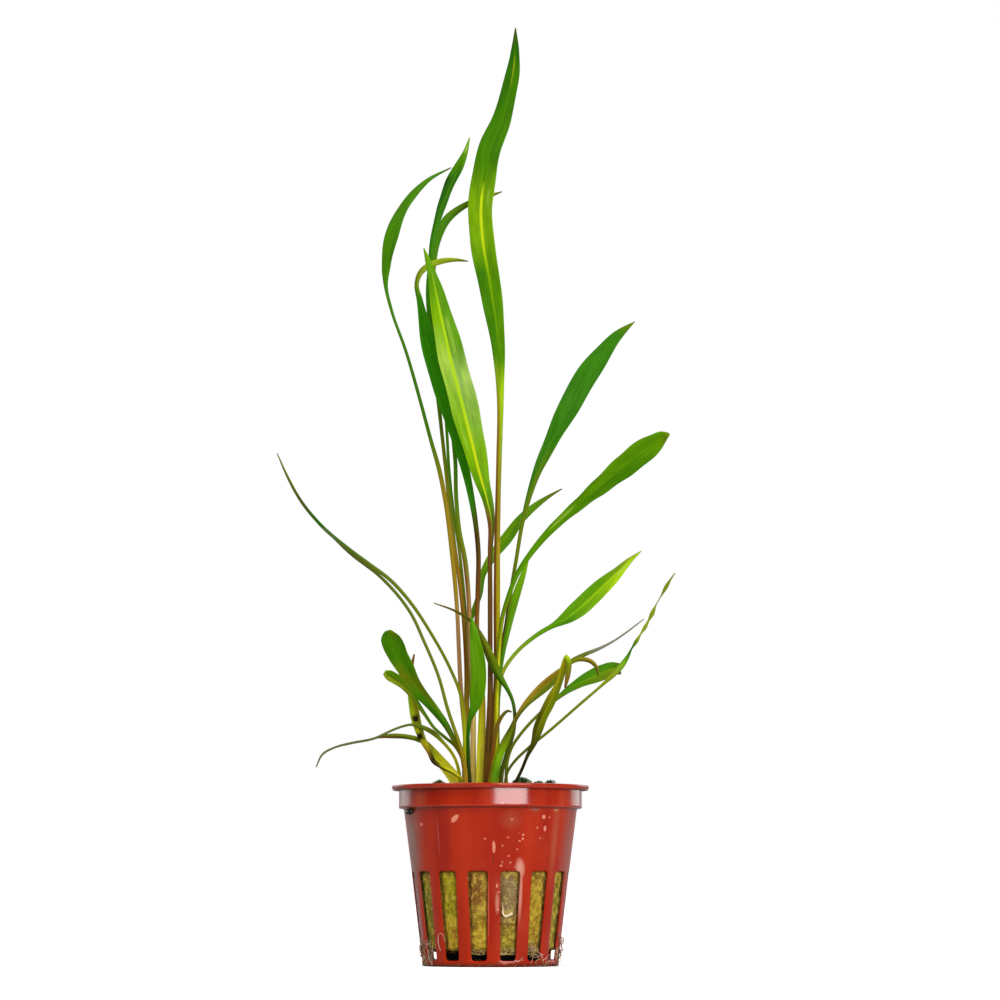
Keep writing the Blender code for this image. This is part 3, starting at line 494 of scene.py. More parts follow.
@dataclass(frozen=True)
class LeafFinish(Finish):
    """A living leaf: waxy, a little see-through to light, coloured by its stops."""

    groups: ShaderGroups
    keep: float = 1.1
    glow: float = 0.2
    mottle: float = 0.55
    shine: float = 0.07
    sheen_share: float = 1.15
    bruised: float = 0.5
    relief_mm: float = 0.12
    relief_share: float = 0.6

    def material(self, plan: LeafPlan, look: LeafLook) -> Material:
        """The material of one leaf.

        Args:
            plan: The leaf.
            look: How it is coloured.

        Returns:
            Its material.
        """
        material, sketch, given = self.begin(plan.name, 0.4)
        span = len(plan.stops) - 1.0
        along, across = sketch.attribute("along"), sketch.attribute("across")
        right = sketch.ramp(along, look.right, span, self.keep)
        left = sketch.ramp(along, look.left or look.right, span, self.keep)
        ground = sketch.blend(sketch.between(across, -0.3, 0.3), left, right)
        rib = sketch.ramp(along, look.rib, span, self.keep)
        inputs = {"Ground": ground, "Rib": rib, "Across": across, "Along": sketch.attribute("reach"),
                  "Blade": sketch.attribute("blade"), "Rib Width": look.rib_width, "Mottle": self.mottle}
        tissue = sketch.add("ShaderNodeGroup", inputs, node_tree=self.groups.tissue).outputs
        # A painted highlight streak, in a pale tint, is strongest where the skin stands up.
        raised = sketch.between(tissue["Height"], 0.38, 0.50, 0.25, 1.0)
        worn = sketch.times(sketch.attribute(LeafMarkKind.PAINTED_SHEEN.value), raised)
        skin = sketch.blend(worn, tissue["Color"], tint(PALE_SHEEN, self.sheen_share))
        skin = sketch.blend(sketch.attribute(LeafMarkKind.BRUISE.value), skin, tint(INK, self.bruised))
        sketch.put(given["Base Color"], skin)
        sketch.put(given["Roughness"], tissue["Roughness"])
        given["Specular IOR Level"].default_value = self.shine
        self.bump(sketch, given, tissue["Height"], self.relief_mm, self.relief_share)
        nodes = material.node_tree.nodes
        shader = nodes["Principled BSDF"].outputs[0]
        through = sketch.out("ShaderNodeBsdfTranslucent", {"Color": skin})
        both = sketch.out("ShaderNodeMixShader", {0: self.glow, 1: shader, 2: through})
        sketch.put(nodes["Material Output"].inputs["Surface"], both)
        return material


LIME_DUST_AND_GLINT = (218, 134, 108)
GREY_SHEEN_AND_SCUFF = (124, 92, 80)
PINK_FILM_AND_HIGHLIGHT = (204, 134, 114)
BROWN_FILM = (166, 84, 58)
DEEP_RED = (150, 24, 6)
DIRT_AND_SHADOW = (84, 30, 14)
UMBER_SHADE = (112, 44, 26)
LILAC_FILM = (150, 112, 110)


LIME_DUST_AND_GLINT: Colour = (218, 134, 108)
GREY_SHEEN_AND_SCUFF: Colour = (124, 92, 80)
PINK_FILM_AND_HIGHLIGHT: Colour = (204, 134, 114)
BROWN_FILM: Colour = (166, 84, 58)
DEEP_RED: Colour = (150, 24, 6)
DIRT_AND_SHADOW: Colour = (84, 30, 14)
UMBER_SHADE: Colour = (112, 44, 26)
LILAC_FILM: Colour = (150, 112, 110)

# Broad films of lime and of wear, and painted reflections, highlights, shade and shadow lines, in the order
# that they are laid.
POT_FILMS = (
    Smear(-34.0, 35.0, 8.5, 14.0, DEEP_RED, 0.7, 0.9),
    # Painted highlight: a thin pale upright line left of the middle.
    Smear(-38.0, 36.0, 0.6, 7.0, LIME_DUST_AND_GLINT, 0.3, 0.8),
    # Painted reflection: a pale grey film along the body's left edge.
    Smear(-70.0, 34.0, 18.0, 22.0, GREY_SHEEN_AND_SCUFF, 0.9, 0.9, 0.25),
    # Painted shade: the collar's end at -74 degrees is darkened in umber.
    Smear(-74.0, 47.0, 22.0, 5.0, UMBER_SHADE, 0.95, 0.9),
    Smear(-49.0, 47.0, 8.0, 4.0, BROWN_FILM, 0.5, 0.9),
    Smear(-30.0, 47.0, 7.0, 4.0, DEEP_RED, 0.4, 0.9),
    # Painted shade: the collar's end at 74 degrees is darkened in umber.
    Smear(74.0, 47.0, 24.0, 5.0, UMBER_SHADE, 0.9, 0.9),
    Smear(50.0, 35.0, 4.5, 16.0, BROWN_FILM, 0.6, 0.9),
    # Painted reflection: a pale grey film along the body's right edge.
    Smear(70.0, 34.0, 14.0, 22.0, GREY_SHEEN_AND_SCUFF, 0.45, 0.9),
    Smear(14.0, 40.5, 9.0, 3.4, BROWN_FILM, 0.45, 0.9),
    # Painted highlight: pale pink glints below the collar's gleam and down the right bar.
    Smear(21.8, 27.2, 4.2, 3.2, PINK_FILM_AND_HIGHLIGHT, 1.0, 0.6, -0.3),
    Smear(22.9, 20.0, 1.9, 8.5, PINK_FILM_AND_HIGHLIGHT, 0.8, 0.6),
    Smear(5.2, 17.5, 1.9, 3.6, PINK_FILM_AND_HIGHLIGHT, 0.65, 0.6),
    # Painted highlight: a thin pale line down a bar's left edge.
    Smear(-1.3, 16.0, 0.5, 11.0, LIME_DUST_AND_GLINT, 0.4, 0.6),
    Smear(12.0, 0.9, 3.2, 0.45, LIME_DUST_AND_GLINT, 0.6, 0.6),
    Smear(-30.0, 12.0, 2.4, 9.0, BROWN_FILM, 0.4, 0.9),
    Smear(-82.0, 12.0, 14.0, 16.0, LILAC_FILM, 0.9, 0.8),
    # Painted shadow lines under the lip and under the collar, then real dirt round the foot.
    Smear(0.0, 48.95, 400.0, 0.4, DIRT_AND_SHADOW, 0.35, 0.6),
    Smear(0.0, 43.8, 400.0, 0.35, DIRT_AND_SHADOW, 0.5, 0.6),
    Smear(0.0, 0.2, 400.0, 1.3, DIRT_AND_SHADOW, 0.7, 0.7),
)

# Small dried marks, specks of lime and a scuff, in the order that they are laid. A speck's row is its
# bearing, its height, its half width, its half height and its strength.
POT_SPECKS = (
    Smear(-24.1, 40.8, 2.5, 1.2, LIME_DUST_AND_GLINT, 1.0, 0.25, 1.6),
    Smear(-53.6, 39.3, 2.0, 0.5, LIME_DUST_AND_GLINT, 0.8, 0.3),
    Smear(30.4, 43.2, 4.8, 0.35, GREY_SHEEN_AND_SCUFF, 0.8, 0.4),
    Smear(48.7, 43.2, 3.0, 0.4, TAN, 0.8, 0.4),
    Smear(14.4, 40.5, 1.2, 0.5, LIME_DUST_AND_GLINT, 0.5, 0.5),
    Smear(36.4, 35.4, 0.9, 0.3, LIME_DUST_AND_GLINT, 0.5, 0.4),
    Smear(2.5, 32.9, 1.2, 1.8, LIME_DUST_AND_GLINT, 0.9, 0.25),
    Smear(2.2, 29.6, 0.5, 2.0, DARK_BROWN, 0.6, 0.5),
    *(Smear(*row[:4], LIME_DUST_AND_GLINT, row[4], 0.3) for row in (
        (38.0, 41.3, 1.6, 0.65, 1.0),
        (42.8, 41.2, 0.9, 0.3, 0.8),
        (39.8, 38.1, 1.3, 0.9, 1.0),
        (33.2, 38.3, 0.9, 0.3, 0.8),
        (22.8, 36.3, 1.0, 0.3, 0.9),
        (22.7, 35.2, 0.9, 0.35, 0.9),
        (20.4, 34.6, 0.9, 0.25, 0.8),
        (12.0, 35.6, 0.9, 0.25, 0.6),
        (-3.6, 35.2, 0.9, 0.3, 0.7),
        (8.4, 33.3, 0.9, 0.3, 0.8),
        (18.9, 32.3, 0.9, 0.3, 0.6),
        (12.9, 30.5, 0.9, 0.3, 0.6),
        (14.3, 28.7, 1.0, 0.35, 0.7),
        (7.7, 27.8, 1.0, 0.35, 0.8),
        (5.0, 22.3, 0.8, 0.6, 0.9),
        (6.4, 20.6, 0.7, 0.3, 0.9),
        (6.0, 15.8, 0.9, 0.35, 0.9),
    )),
)


@dataclass(frozen=True)
class PlasticFinish(Finish):
    """The pot's glossy red-brown plastic: moulding streaks, films, lime specks, a scuff, painted highlights
    and shade.

    The fine specks' middle and reach, the collar's heights and the reach of its gleam are in metres.
    """

    groups: ShaderGroups
    colour: Colour = (174, 42, 8)
    shade: Colour = (154, 28, 2)
    worn: Colour = (186, 76, 46)
    flow: Point = (160.0, 160.0, 22.0)
    fine_middle: float = 0.008
    fine_reach: Pair = (0.003, 0.009)
    collar_heights: Pair = (0.0433, 0.0441)
    gleam_reach: Pair = (0.016, 0.022)
    shine: float = 0.28
    coat: float = 0.6
    coat_roughness: float = 0.16

    def material(self) -> Material:
        """The pot's material.

        Returns:
            The material.
        """
        material, sketch, given = self.begin("net_pot_plastic", 0.2)
        where = sketch.place()
        place = sketch.parts(where)
        flow = sketch.grain(sketch.stretched(where, self.flow), 1.0, 3.0)
        clouds = sketch.grain(where, 70.0, 3.0)
        body = sketch.blend(sketch.between(flow, 0.3, 0.7), tint(self.colour), tint(self.shade))
        body = sketch.blend(sketch.between(clouds, 0.5, 0.8, 0.0, 0.25), body, tint(self.worn))
        # The films carry painted reflections, highlights, shade and shadow lines as well as lime and wear.
        body = self.smeared(sketch, where, body, POT_FILMS + POT_SPECKS, self.groups.patch)
        inputs = {"Vector": where, "Scale": 900.0, "Size": 0.30, "Amount": 0.12}
        specks = sketch.out("ShaderNodeGroup", inputs, node_tree=self.groups.speckle)
        # The fine specks lie to the right of the middle.
        aside = sketch.math("ABSOLUTE", sketch.math("SUBTRACT", place["X"], self.fine_middle))
        near = sketch.between(aside, *self.fine_reach, 1.0, 0.0)
        mask = sketch.times(specks, sketch.times(near, 0.6))
        sketch.put(given["Base Color"], sketch.blend(mask, body, tint(LIME_DUST_AND_GLINT)))
        sketch.put(given["Roughness"], sketch.between(clouds, 0.35, 0.75, 0.13, 0.30))
        given["IOR"].default_value = 1.5
        given["Specular IOR Level"].default_value = self.shine
        given["Coat Roughness"].default_value = self.coat_roughness
        collar = sketch.between(place["Z"], *self.collar_heights, 0.0, self.coat)
        middle = sketch.between(sketch.math("ABSOLUTE", place["X"]), *self.gleam_reach, 1.0, 0.0)
        sketch.put(given["Coat Weight"], sketch.times(collar, middle))
        self.bump(sketch, given, sketch.math("ADD", flow, sketch.times(mask, 2.0)), 0.05, 0.5)
        return material


ALGAE = (112, 124, 10)
MOSSY = (158, 148, 12)
GOLDEN = (182, 152, 22)
RUST = (160, 92, 20)
GREY_TAN = (132, 112, 84)
LILAC = (150, 128, 132)

# Where algae, soil and rust have stained the wool, in the order that they are laid.
WOOL_STAINS = (
    Smear(-66.0, 15.0, 14.0, 17.0, ALGAE, 0.9, 0.5),
    Smear(-34.0, 18.0, 12.0, 13.0, MOSSY, 0.95, 0.4),
    Smear(-34.0, 8.0, 12.0, 7.0, GOLDEN, 0.9, 0.5),
    Smear(-31.0, 9.0, 3.0, 2.0, RUST, 0.9, 0.5),
    Smear(-37.0, 5.5, 3.4, 1.6, RUST, 0.8, 0.5),
    Smear(-12.0, 21.0, 9.0, 7.0, BROWN, 0.85, 0.5),
    Smear(-8.0, 8.0, 10.0, 8.0, GOLDEN, 0.6, 0.6),
    Smear(14.0, 19.0, 11.0, 8.5, GREY_TAN, 0.85, 0.4),
    Smear(14.0, 7.0, 10.0, 6.0, ALGAE, 0.4, 0.6),
    Smear(38.0, 15.0, 11.0, 12.0, GOLDEN, 0.6, 0.6),
    Smear(37.0, 4.0, 9.0, 2.0, LILAC, 0.8, 0.5),
    Smear(65.0, 14.0, 11.0, 16.0, ALGAE, 0.5, 0.6),
    Smear(180.0, 14.0, 60.0, 9.0, ALGAE, 0.3, 0.6),
)


@dataclass(frozen=True)
class WoolFinish(Finish):
    """Wet mineral wool: matted fibres, stained brown by soil and green by algae.

    The near-black lower part's upper edge is given by two heights and by how far it wanders, in metres.
    """

    groups: ShaderGroups
    tan: Colour = (178, 146, 52)
    straw: Colour = (214, 186, 74)
    brown: Colour = (116, 84, 26)
    pit: Colour = (50, 36, 10)
    # The near-black colour that the wool turns towards its foot.
    soil: Colour = (14, 10, 14)
    fibre: Point = (1500.0, 1500.0, 300.0)
    dark_foot_heights: Pair = (0.0058, 0.0064)
    dark_foot_wander: float = 0.004

    def material(self) -> Material:
        """The wool's material.

        Returns:
            The material.
        """
        material, sketch, given = self.begin("rock_wool_fibre", 0.95)
        where = sketch.place()
        place = sketch.parts(where)
        clouds = sketch.grain(where, 220.0, 4.0, 0.6)
        blots = sketch.grain(where, 760.0, 3.0, 0.65)
        threads = sketch.grain(sketch.stretched(where, self.fibre), 1.0, 4.0, 0.7)
        body = sketch.blend(sketch.between(clouds, 0.36, 0.62), tint(self.brown), tint(self.tan))
        body = self.smeared(sketch, where, body, WOOL_STAINS, self.groups.patch)
        body = sketch.blend(sketch.between(blots, 0.50, 0.66, 0.0, 0.6), body, tint(self.straw))
        body = sketch.blend(sketch.between(blots, 0.34, 0.50, 0.75, 0.0), body, tint(self.brown))
        body = sketch.blend(sketch.between(threads, 0.54, 0.70, 0.0, 0.35), body, tint(self.straw))
        body = sketch.blend(sketch.between(threads, 0.32, 0.44, 0.45, 0.0), body, tint(self.pit, 1.4))
        # Below a wandering height near its foot the wool turns near black.
        wander = sketch.times(sketch.grain(where, 330.0), self.dark_foot_wander)
        under = sketch.between(sketch.math("ADD", place["Z"], wander), *self.dark_foot_heights, 1.0, 0.0)
        sketch.put(given["Base Color"], sketch.blend(under, body, tint(self.soil)))
        given["Specular IOR Level"].default_value = 0.25
        self.bump(sketch, given, sketch.math("ADD", threads, blots), 0.5)
        return material


@dataclass(frozen=True)
class PlantFinish(Finish):
    """A dull surface that runs between a few tones: moss, roots, the crown, fibres and soil."""

    name: str
    tones: Tones
    scale: float
    roughness: float = 0.8
    relief_mm: float = 0.2
    shine: float = 0.3

    def material(self) -> Material:
        """The material.

        Returns:
            The material.
        """
        material, sketch, given = self.begin(self.name, self.roughness)
        given["Specular IOR Level"].default_value = self.shine
        where = sketch.place()
        spread = sketch.between(sketch.grain(where, self.scale, 4.0, 0.6), 0.3, 0.7)
        sketch.put(given["Base Color"], sketch.ramp(spread, self.tones))
        self.bump(sketch, given, sketch.grain(where, self.scale * 4.0, 3.0), self.relief_mm)
        return material


PLANS: tuple[LeafPlan, ...] = (
    LeafPlan("leaf_tall", Slot.GREEN, 22.0, (
        (-0.1, 49.2, 0.8, 1.9), (0.9, 63.7, 0.8, 1.8), (1.7, 79.2, 0.8, 1.8), (1.8, 103.2, 1.0, 1.9),
        (1.9, 120.2, 1.4, 1.7), (2.4, 143.2, 2.0, 1.6), (2.8, 160.7, 3.0, 2.0), (2.5, 172.2, 4.0, 3.2),
        (1.7, 181.2, 5.0, 4.7), (-0.5, 195.7, 6.5, 6.5), (-2.5, 207.7, 7.5, 7.0),
        (-3.0, 216.7, 8.0, 7.1), (-2.1, 225.2, 8.0, 7.2), (-0.3, 234.2, 8.0, 6.8),
        (3.2, 243.2, 7.0, 5.8), (5.4, 251.7, 6.0, 4.6), (6.5, 257.7, 5.0, 3.9), (7.1, 263.7, 4.0, 2.4),
        (7.2, 270.2, 3.0, 0.3),
    )),
    LeafPlan("leaf_broad_front", Slot.BRIGHT, -24.0, (
        (-1.2, 49.2, -3.4, 2.2), (-0.6, 63.2, -3.8, 1.9), (-0.1, 75.2, -4.2, 1.6),
        (-0.1, 91.2, -4.6, 1.4), (-0.1, 103.2, -5.2, 1.4), (-0.1, 117.2, -6.4, 1.4),
        (0.2, 125.2, -7.4, 2.0), (-0.9, 132.2, -8.6, 3.3), (-2.4, 137.7, -9.8, 4.4),
        (-5.1, 149.2, -12.0, 6.9), (-7.9, 160.7, -14.0, 7.9), (-10.9, 172.2, -15.5, 7.7),
        (-13.7, 184.2, -16.5, 6.2), (-16.4, 195.7, -17.0, 3.0), (-18.0, 201.2, -17.0, 1.7),
        (-19.3, 205.2, -17.0, 0.3),
    )),
    LeafPlan("leaf_left_arching", Slot.GREEN, 30.0, (
        (-6.7, 49.2, 0.0, 1.7), (-7.2, 64.7, 0.0, 1.4), (-8.4, 77.7, 0.0, 1.3), (-9.0, 89.2, 0.0, 1.2),
        (-9.5, 100.2, 0.0, 1.2), (-11.1, 117.7, 0.0, 1.3), (-12.9, 131.7, -0.4, 1.3),
        (-14.7, 140.7, -1.0, 1.3), (-17.1, 149.2, -2.0, 1.1), (-20.2, 160.7, -4.0, 1.0),
        (-24.4, 175.2, -7.0, 0.9), (-28.6, 187.2, -9.5, 0.9), (-30.2, 194.2, -11.0, 1.2),
        (-30.0, 201.1, -12.0, 3.0), (-28.7, 208.0, -12.5, 3.9), (-27.1, 213.3, -12.5, 3.5),
        (-23.2, 219.8, -12.0, 2.5), (-17.8, 225.3, -11.0, 1.2), (-11.4, 228.8, -10.0, 0.3),
    )),
    LeafPlan("leaf_bent_tip", Slot.DARK, -18.0, (
        (-3.0, 49.2, -1.0, 2.5), (-2.6, 63.2, -1.0, 2.3), (-2.4, 74.7, -1.0, 1.9),
        (-3.0, 83.2, -1.0, 1.6), (-3.9, 95.2, -1.0, 1.4), (-3.6, 106.2, -1.0, 1.4),
        (-3.5, 117.2, -1.4, 1.4), (-4.4, 126.2, -2.0, 1.5), (-5.4, 132.2, -2.5, 1.8),
        (-7.9, 143.5, -4.0, 2.7), (-11.9, 155.2, -6.0, 2.8), (-15.4, 166.7, -7.0, 3.8),
        (-18.1, 178.2, -7.5, 4.1), (-20.4, 189.9, -7.5, 1.8), (-21.3, 194.7, -7.2, 1.3),
        (-20.3, 197.8, -7.0, 1.6), (-18.0, 199.9, -6.6, 1.8), (-14.6, 201.2, -6.0, 1.7),
        (-10.3, 201.7, -5.0, 1.1), (-6.5, 201.3, -4.0, 0.3),
    )),
    LeafPlan("leaf_upper_left", Slot.GREEN, 34.0, (
        (-6.3, 49.2, 3.6, 1.6), (-6.7, 72.2, 3.6, 1.4), (-6.9, 85.2, 3.6, 1.3), (-7.6, 97.2, 3.5, 1.2),
        (-8.9, 109.2, 3.2, 1.2), (-10.3, 118.7, 3.0, 1.2), (-11.4, 128.2, 2.8, 1.2),
        (-13.1, 143.5, 3.2, 1.1), (-14.4, 155.2, 3.8, 1.1), (-16.2, 175.2, 4.6, 2.2),
        (-17.2, 190.2, 5.0, 3.0), (-17.2, 201.2, 5.2, 1.7), (-16.8, 207.2, 5.4, 1.5),
        (-15.4, 213.2, 5.6, 1.9), (-13.6, 219.2, 5.8, 2.8), (-11.6, 224.4, 6.0, 3.3),
        (-9.5, 228.4, 6.0, 2.9), (-7.2, 233.7, 5.5, 1.4), (-6.1, 237.7, 5.0, 0.3),
    )),
    LeafPlan("leaf_thin_behind", Slot.GREEN, -28.0, (
        (-4.6, 49.2, 6.0, 1.3), (-5.2, 69.2, 6.2, 1.0), (-6.6, 91.2, 6.4, 0.9), (-7.4, 103.2, 6.6, 0.9),
        (-8.9, 117.2, 7.0, 0.9), (-10.6, 128.7, 7.6, 0.9), (-11.9, 140.7, 8.4, 0.9),
        (-12.5, 151.2, 9.2, 0.9), (-14.9, 178.2, 12.0, 1.5), (-16.6, 199.2, 14.0, 1.6),
        (-15.5, 207.2, 15.0, 2.2), (-12.9, 213.2, 15.6, 2.4), (-7.7, 217.5, 16.4, 1.8),
        (-3.0, 219.6, 17.0, 1.4), (1.0, 220.9, 17.4, 0.9), (3.3, 221.7, 17.6, 0.3),
    )),
    LeafPlan("leaf_hidden_middle", Slot.GREEN, 20.0, (
        (-4.9, 49.2, 1.4, 1.8), (-4.9, 63.2, 1.4, 1.6), (-4.9, 75.2, 1.3, 1.4), (-5.8, 91.8, 1.0, 1.3),
        (-6.2, 103.2, 0.9, 1.3), (-7.3, 114.7, 0.9, 1.4), (-8.9, 123.2, 0.8, 1.2),
        (-9.8, 132.2, 0.6, 1.2), (-10.1, 143.2, 0.2, 1.2), (-10.8, 152.2, 0.0, 1.6),
        (-11.8, 162.7, 0.0, 3.2), (-13.0, 175.2, 0.0, 4.2), (-14.0, 183.7, 0.0, 3.0),
        (-14.8, 189.7, 0.0, 0.3),
    )),
    LeafPlan("leaf_right_upright", Slot.GREEN, 26.0, (
        (1.5, 49.2, 3.4, 1.6), (1.4, 61.7, 3.4, 1.4), (1.7, 72.2, 3.4, 1.2), (2.3, 80.7, 3.4, 1.1),
        (3.2, 89.2, 3.5, 1.1), (4.4, 96.2, 3.6, 1.1), (5.8, 105.7, 3.8, 1.1), (7.3, 114.7, 4.2, 1.1),
        (9.6, 127.7, 5.5, 1.3), (13.0, 139.2, 7.5, 2.4), (17.5, 149.2, 10.0, 4.3),
        (20.6, 155.2, 11.5, 5.6), (25.7, 164.8, 15.0, 6.8), (32.3, 174.7, 20.0, 5.2),
        (36.8, 179.9, 23.0, 2.9), (41.4, 183.6, 26.0, 0.3),
    )),
    LeafPlan("leaf_right_blunt", Slot.GREEN, -24.0, (
        (1.5, 49.2, -3.8, 1.6), (1.5, 63.2, -3.8, 1.4), (1.7, 75.2, -3.8, 1.2), (2.0, 83.2, -3.8, 1.2),
        (2.6, 91.8, -4.0, 1.2), (3.5, 98.9, -4.4, 1.2), (5.3, 104.9, -5.0, 1.3), (7.9, 111.2, -6.0, 1.4),
        (11.3, 116.4, -7.5, 1.6), (17.2, 123.4, -10.5, 2.2), (24.4, 130.0, -14.5, 3.1),
        (31.6, 136.1, -18.5, 4.7), (38.6, 141.9, -22.0, 6.2), (42.9, 145.4, -24.0, 6.5),
        (47.0, 148.5, -25.5, 5.2), (49.6, 150.4, -26.5, 3.0), (51.2, 151.0, -27.0, 0.8),
    )),
    LeafPlan("leaf_leaning_behind", Slot.BRIGHT, -30.0, (
        (-7.6, 49.2, 7.0, 1.2), (-7.1, 75.2, 7.6, 0.9), (-6.8, 87.2, 8.2, 0.9), (-6.2, 94.2, 8.6, 1.0),
        (-5.0, 99.7, 9.0, 1.4), (-3.2, 104.7, 9.4, 1.7), (-2.2, 110.7, 9.8, 1.9),
        (0.2, 115.2, 10.4, 2.6), (4.8, 121.2, 11.4, 3.1), (8.4, 126.2, 12.4, 2.6),
        (12.7, 130.2, 13.4, 1.9), (17.0, 133.2, 14.4, 1.0), (20.4, 135.2, 15.0, 0.3),
    )),
    LeafPlan("leaf_front_centre", Slot.BRIGHT, 14.0, (
        (-5.7, 49.2, -4.6, 1.3), (-6.2, 56.2, -5.2, 1.1), (-6.4, 61.2, -6.2, 1.0),
        (-6.3, 65.7, -7.4, 1.1), (-5.9, 69.2, -8.4, 1.4), (-4.8, 72.1, -9.4, 2.4),
        (-3.9, 75.2, -10.4, 3.7), (-3.5, 79.2, -11.4, 4.3), (-3.6, 86.2, -12.4, 4.2),
        (-4.4, 91.8, -12.8, 2.9), (-5.1, 96.2, -13.0, 1.6), (-5.5, 98.6, -13.0, 0.3),
    )),
    LeafPlan("leaf_small_lance", Slot.GREEN, 18.0, (
        (2.6, 49.2, -1.6, 1.1), (2.0, 63.2, -1.6, 0.9), (2.3, 74.7, -1.6, 0.9), (2.8, 82.7, -1.6, 1.0),
        (3.5, 87.7, -1.7, 1.2), (5.3, 96.2, -1.9, 1.7), (7.6, 105.5, -2.2, 2.2), (9.2, 110.2, -2.5, 1.6),
        (11.0, 115.8, -2.8, 0.3),
    )),
    LeafPlan("leaf_drooping", Slot.DARK, 20.0, (
        (2.9, 49.2, -5.8, 1.2), (3.4, 55.2, -6.0, 1.2), (5.2, 61.2, -6.0, 1.2), (6.5, 65.7, -6.0, 1.1),
        (6.9, 70.2, -6.2, 1.0), (6.2, 74.8, -6.8, 1.0), (4.5, 78.4, -7.6, 1.3), (2.7, 81.2, -8.2, 2.0),
        (1.0, 84.5, -8.8, 2.6), (-1.0, 89.2, -9.2, 2.3), (-3.0, 93.4, -9.4, 1.6),
        (-5.3, 97.0, -9.6, 1.0), (-9.8, 100.0, -10.4, 0.7), (-16.1, 102.4, -12.0, 0.3),
    )),
    LeafPlan("leaf_olive_arching", Slot.OLIVE, -16.0, (
        (0.6, 49.2, -7.6, 2.0), (1.4, 54.2, -7.8, 2.1), (2.6, 59.0, -8.0, 2.2), (4.2, 63.0, -8.2, 2.2),
        (5.8, 66.4, -8.4, 1.5), (7.5, 70.0, -8.6, 1.2), (9.8, 73.3, -8.6, 1.7), (13.5, 77.0, -8.4, 2.7),
        (16.1, 79.3, -8.0, 3.0), (18.9, 81.9, -7.4, 2.4), (21.2, 84.1, -7.0, 1.4),
        (23.4, 85.8, -7.0, 1.2), (25.7, 86.4, -7.4, 1.3), (28.3, 85.9, -8.0, 1.3),
        (30.1, 84.2, -8.6, 1.0), (30.6, 81.6, -9.0, 0.4),
    )),
    LeafPlan("leaf_folded_top", Slot.OLIVE, 18.0, (
        (5.9, 49.2, -5.0, 1.0), (8.8, 54.9, -6.5, 0.9), (10.4, 58.8, -8.0, 1.0), (12.4, 62.9, -9.5, 1.8),
        (13.4, 66.3, -10.6, 2.8), (14.7, 69.8, -11.5, 2.8), (17.0, 74.4, -13.0, 3.0),
        (19.5, 79.8, -14.5, 1.9), (20.8, 84.2, -15.3, 1.8), (21.6, 87.1, -16.4, 1.2),
        (22.3, 85.5, -17.8, 1.4), (22.0, 82.2, -18.4, 1.5), (21.2, 78.2, -18.6, 0.6),
    )),
    LeafPlan("leaf_green_low_right", Slot.GREEN, 28.0, (
        (4.6, 49.2, 3.4, 1.0), (4.6, 56.2, 3.8, 0.9), (5.9, 61.1, 4.4, 0.9), (8.3, 64.8, 5.0, 0.9),
        (11.2, 68.2, 6.0, 0.9), (16.8, 73.5, 7.5, 1.0), (19.7, 75.9, 8.2, 1.3), (21.9, 77.6, 8.8, 1.9),
        (25.4, 79.7, 9.6, 3.1), (28.8, 81.3, 10.4, 4.1), (32.2, 82.8, 11.2, 4.5),
        (34.8, 83.8, 11.8, 4.0), (37.1, 83.6, 12.2, 3.4),
    )),
    LeafPlan("leaf_dry_grey_tip", Slot.OLIVE, 10.0, (
        (0.8, 49.2, 8.6, 1.0), (1.4, 54.2, 8.6, 0.8), (2.6, 59.0, 8.6, 0.8), (4.2, 63.0, 8.8, 0.8),
        (7.5, 70.0, 9.2, 0.8), (13.5, 77.0, 10.2, 1.0), (18.9, 82.1, 11.4, 1.2), (23.4, 86.1, 12.4, 1.3),
        (26.9, 87.8, 13.2, 1.2), (31.1, 89.5, 14.0, 0.9), (35.4, 91.8, 15.0, 0.6),
        (39.7, 94.8, 16.0, 0.5), (43.6, 97.8, 17.0, 0.3),
    )),
    LeafPlan("leaf_twisted", Slot.DARK, 12.0, (
        (4.0, 49.2, -3.0, 1.0), (4.9, 54.6, -3.2, 0.8), (7.1, 57.7, -3.5, 0.8), (10.2, 60.7, -4.0, 0.8),
        (16.9, 66.2, -6.0, 0.8), (25.4, 73.6, -9.0, 0.8), (32.0, 79.3, -12.0, 0.9),
        (35.4, 82.4, -13.5, 1.4), (37.6, 85.0, -14.5, 1.6), (39.1, 87.3, -15.0, 1.0),
        (40.2, 89.5, -15.6, 0.5), (41.5, 91.5, -16.0, 1.1), (42.7, 93.5, -16.4, 0.5),
        (44.0, 95.5, -16.8, 1.1), (45.0, 97.4, -17.2, 0.6), (46.0, 99.3, -17.6, 1.3),
        (47.1, 101.8, -18.2, 0.4), (48.6, 104.4, -18.8, 0.4), (50.1, 107.1, -19.4, 1.1),
        (51.4, 109.3, -19.8, 0.5), (52.6, 111.0, -20.0, 0.3),
    )),
    LeafPlan("leaf_bright_right", Slot.BRIGHT, 24.0, (
        (3.0, 49.2, 6.0, 1.3), (2.2, 59.2, 6.0, 1.1), (2.1, 69.2, 6.2, 1.1), (2.5, 77.7, 6.4, 1.1),
        (3.5, 82.7, 6.7, 1.1), (5.6, 86.2, 7.2, 1.1), (8.4, 89.4, 8.0, 1.1), (11.3, 91.9, 9.0, 1.2),
        (14.1, 93.9, 10.5, 1.3), (18.0, 96.1, 13.0, 1.7), (21.3, 97.9, 15.0, 3.5),
        (24.4, 100.3, 17.0, 5.0), (27.9, 103.4, 19.5, 5.5), (32.2, 107.5, 22.0, 4.7),
        (36.5, 111.5, 24.5, 3.2), (39.9, 114.8, 26.5, 1.6), (43.0, 117.3, 28.0, 0.3),
    )),
    LeafPlan("leaf_spoon_left", Slot.DARK, 22.0, (
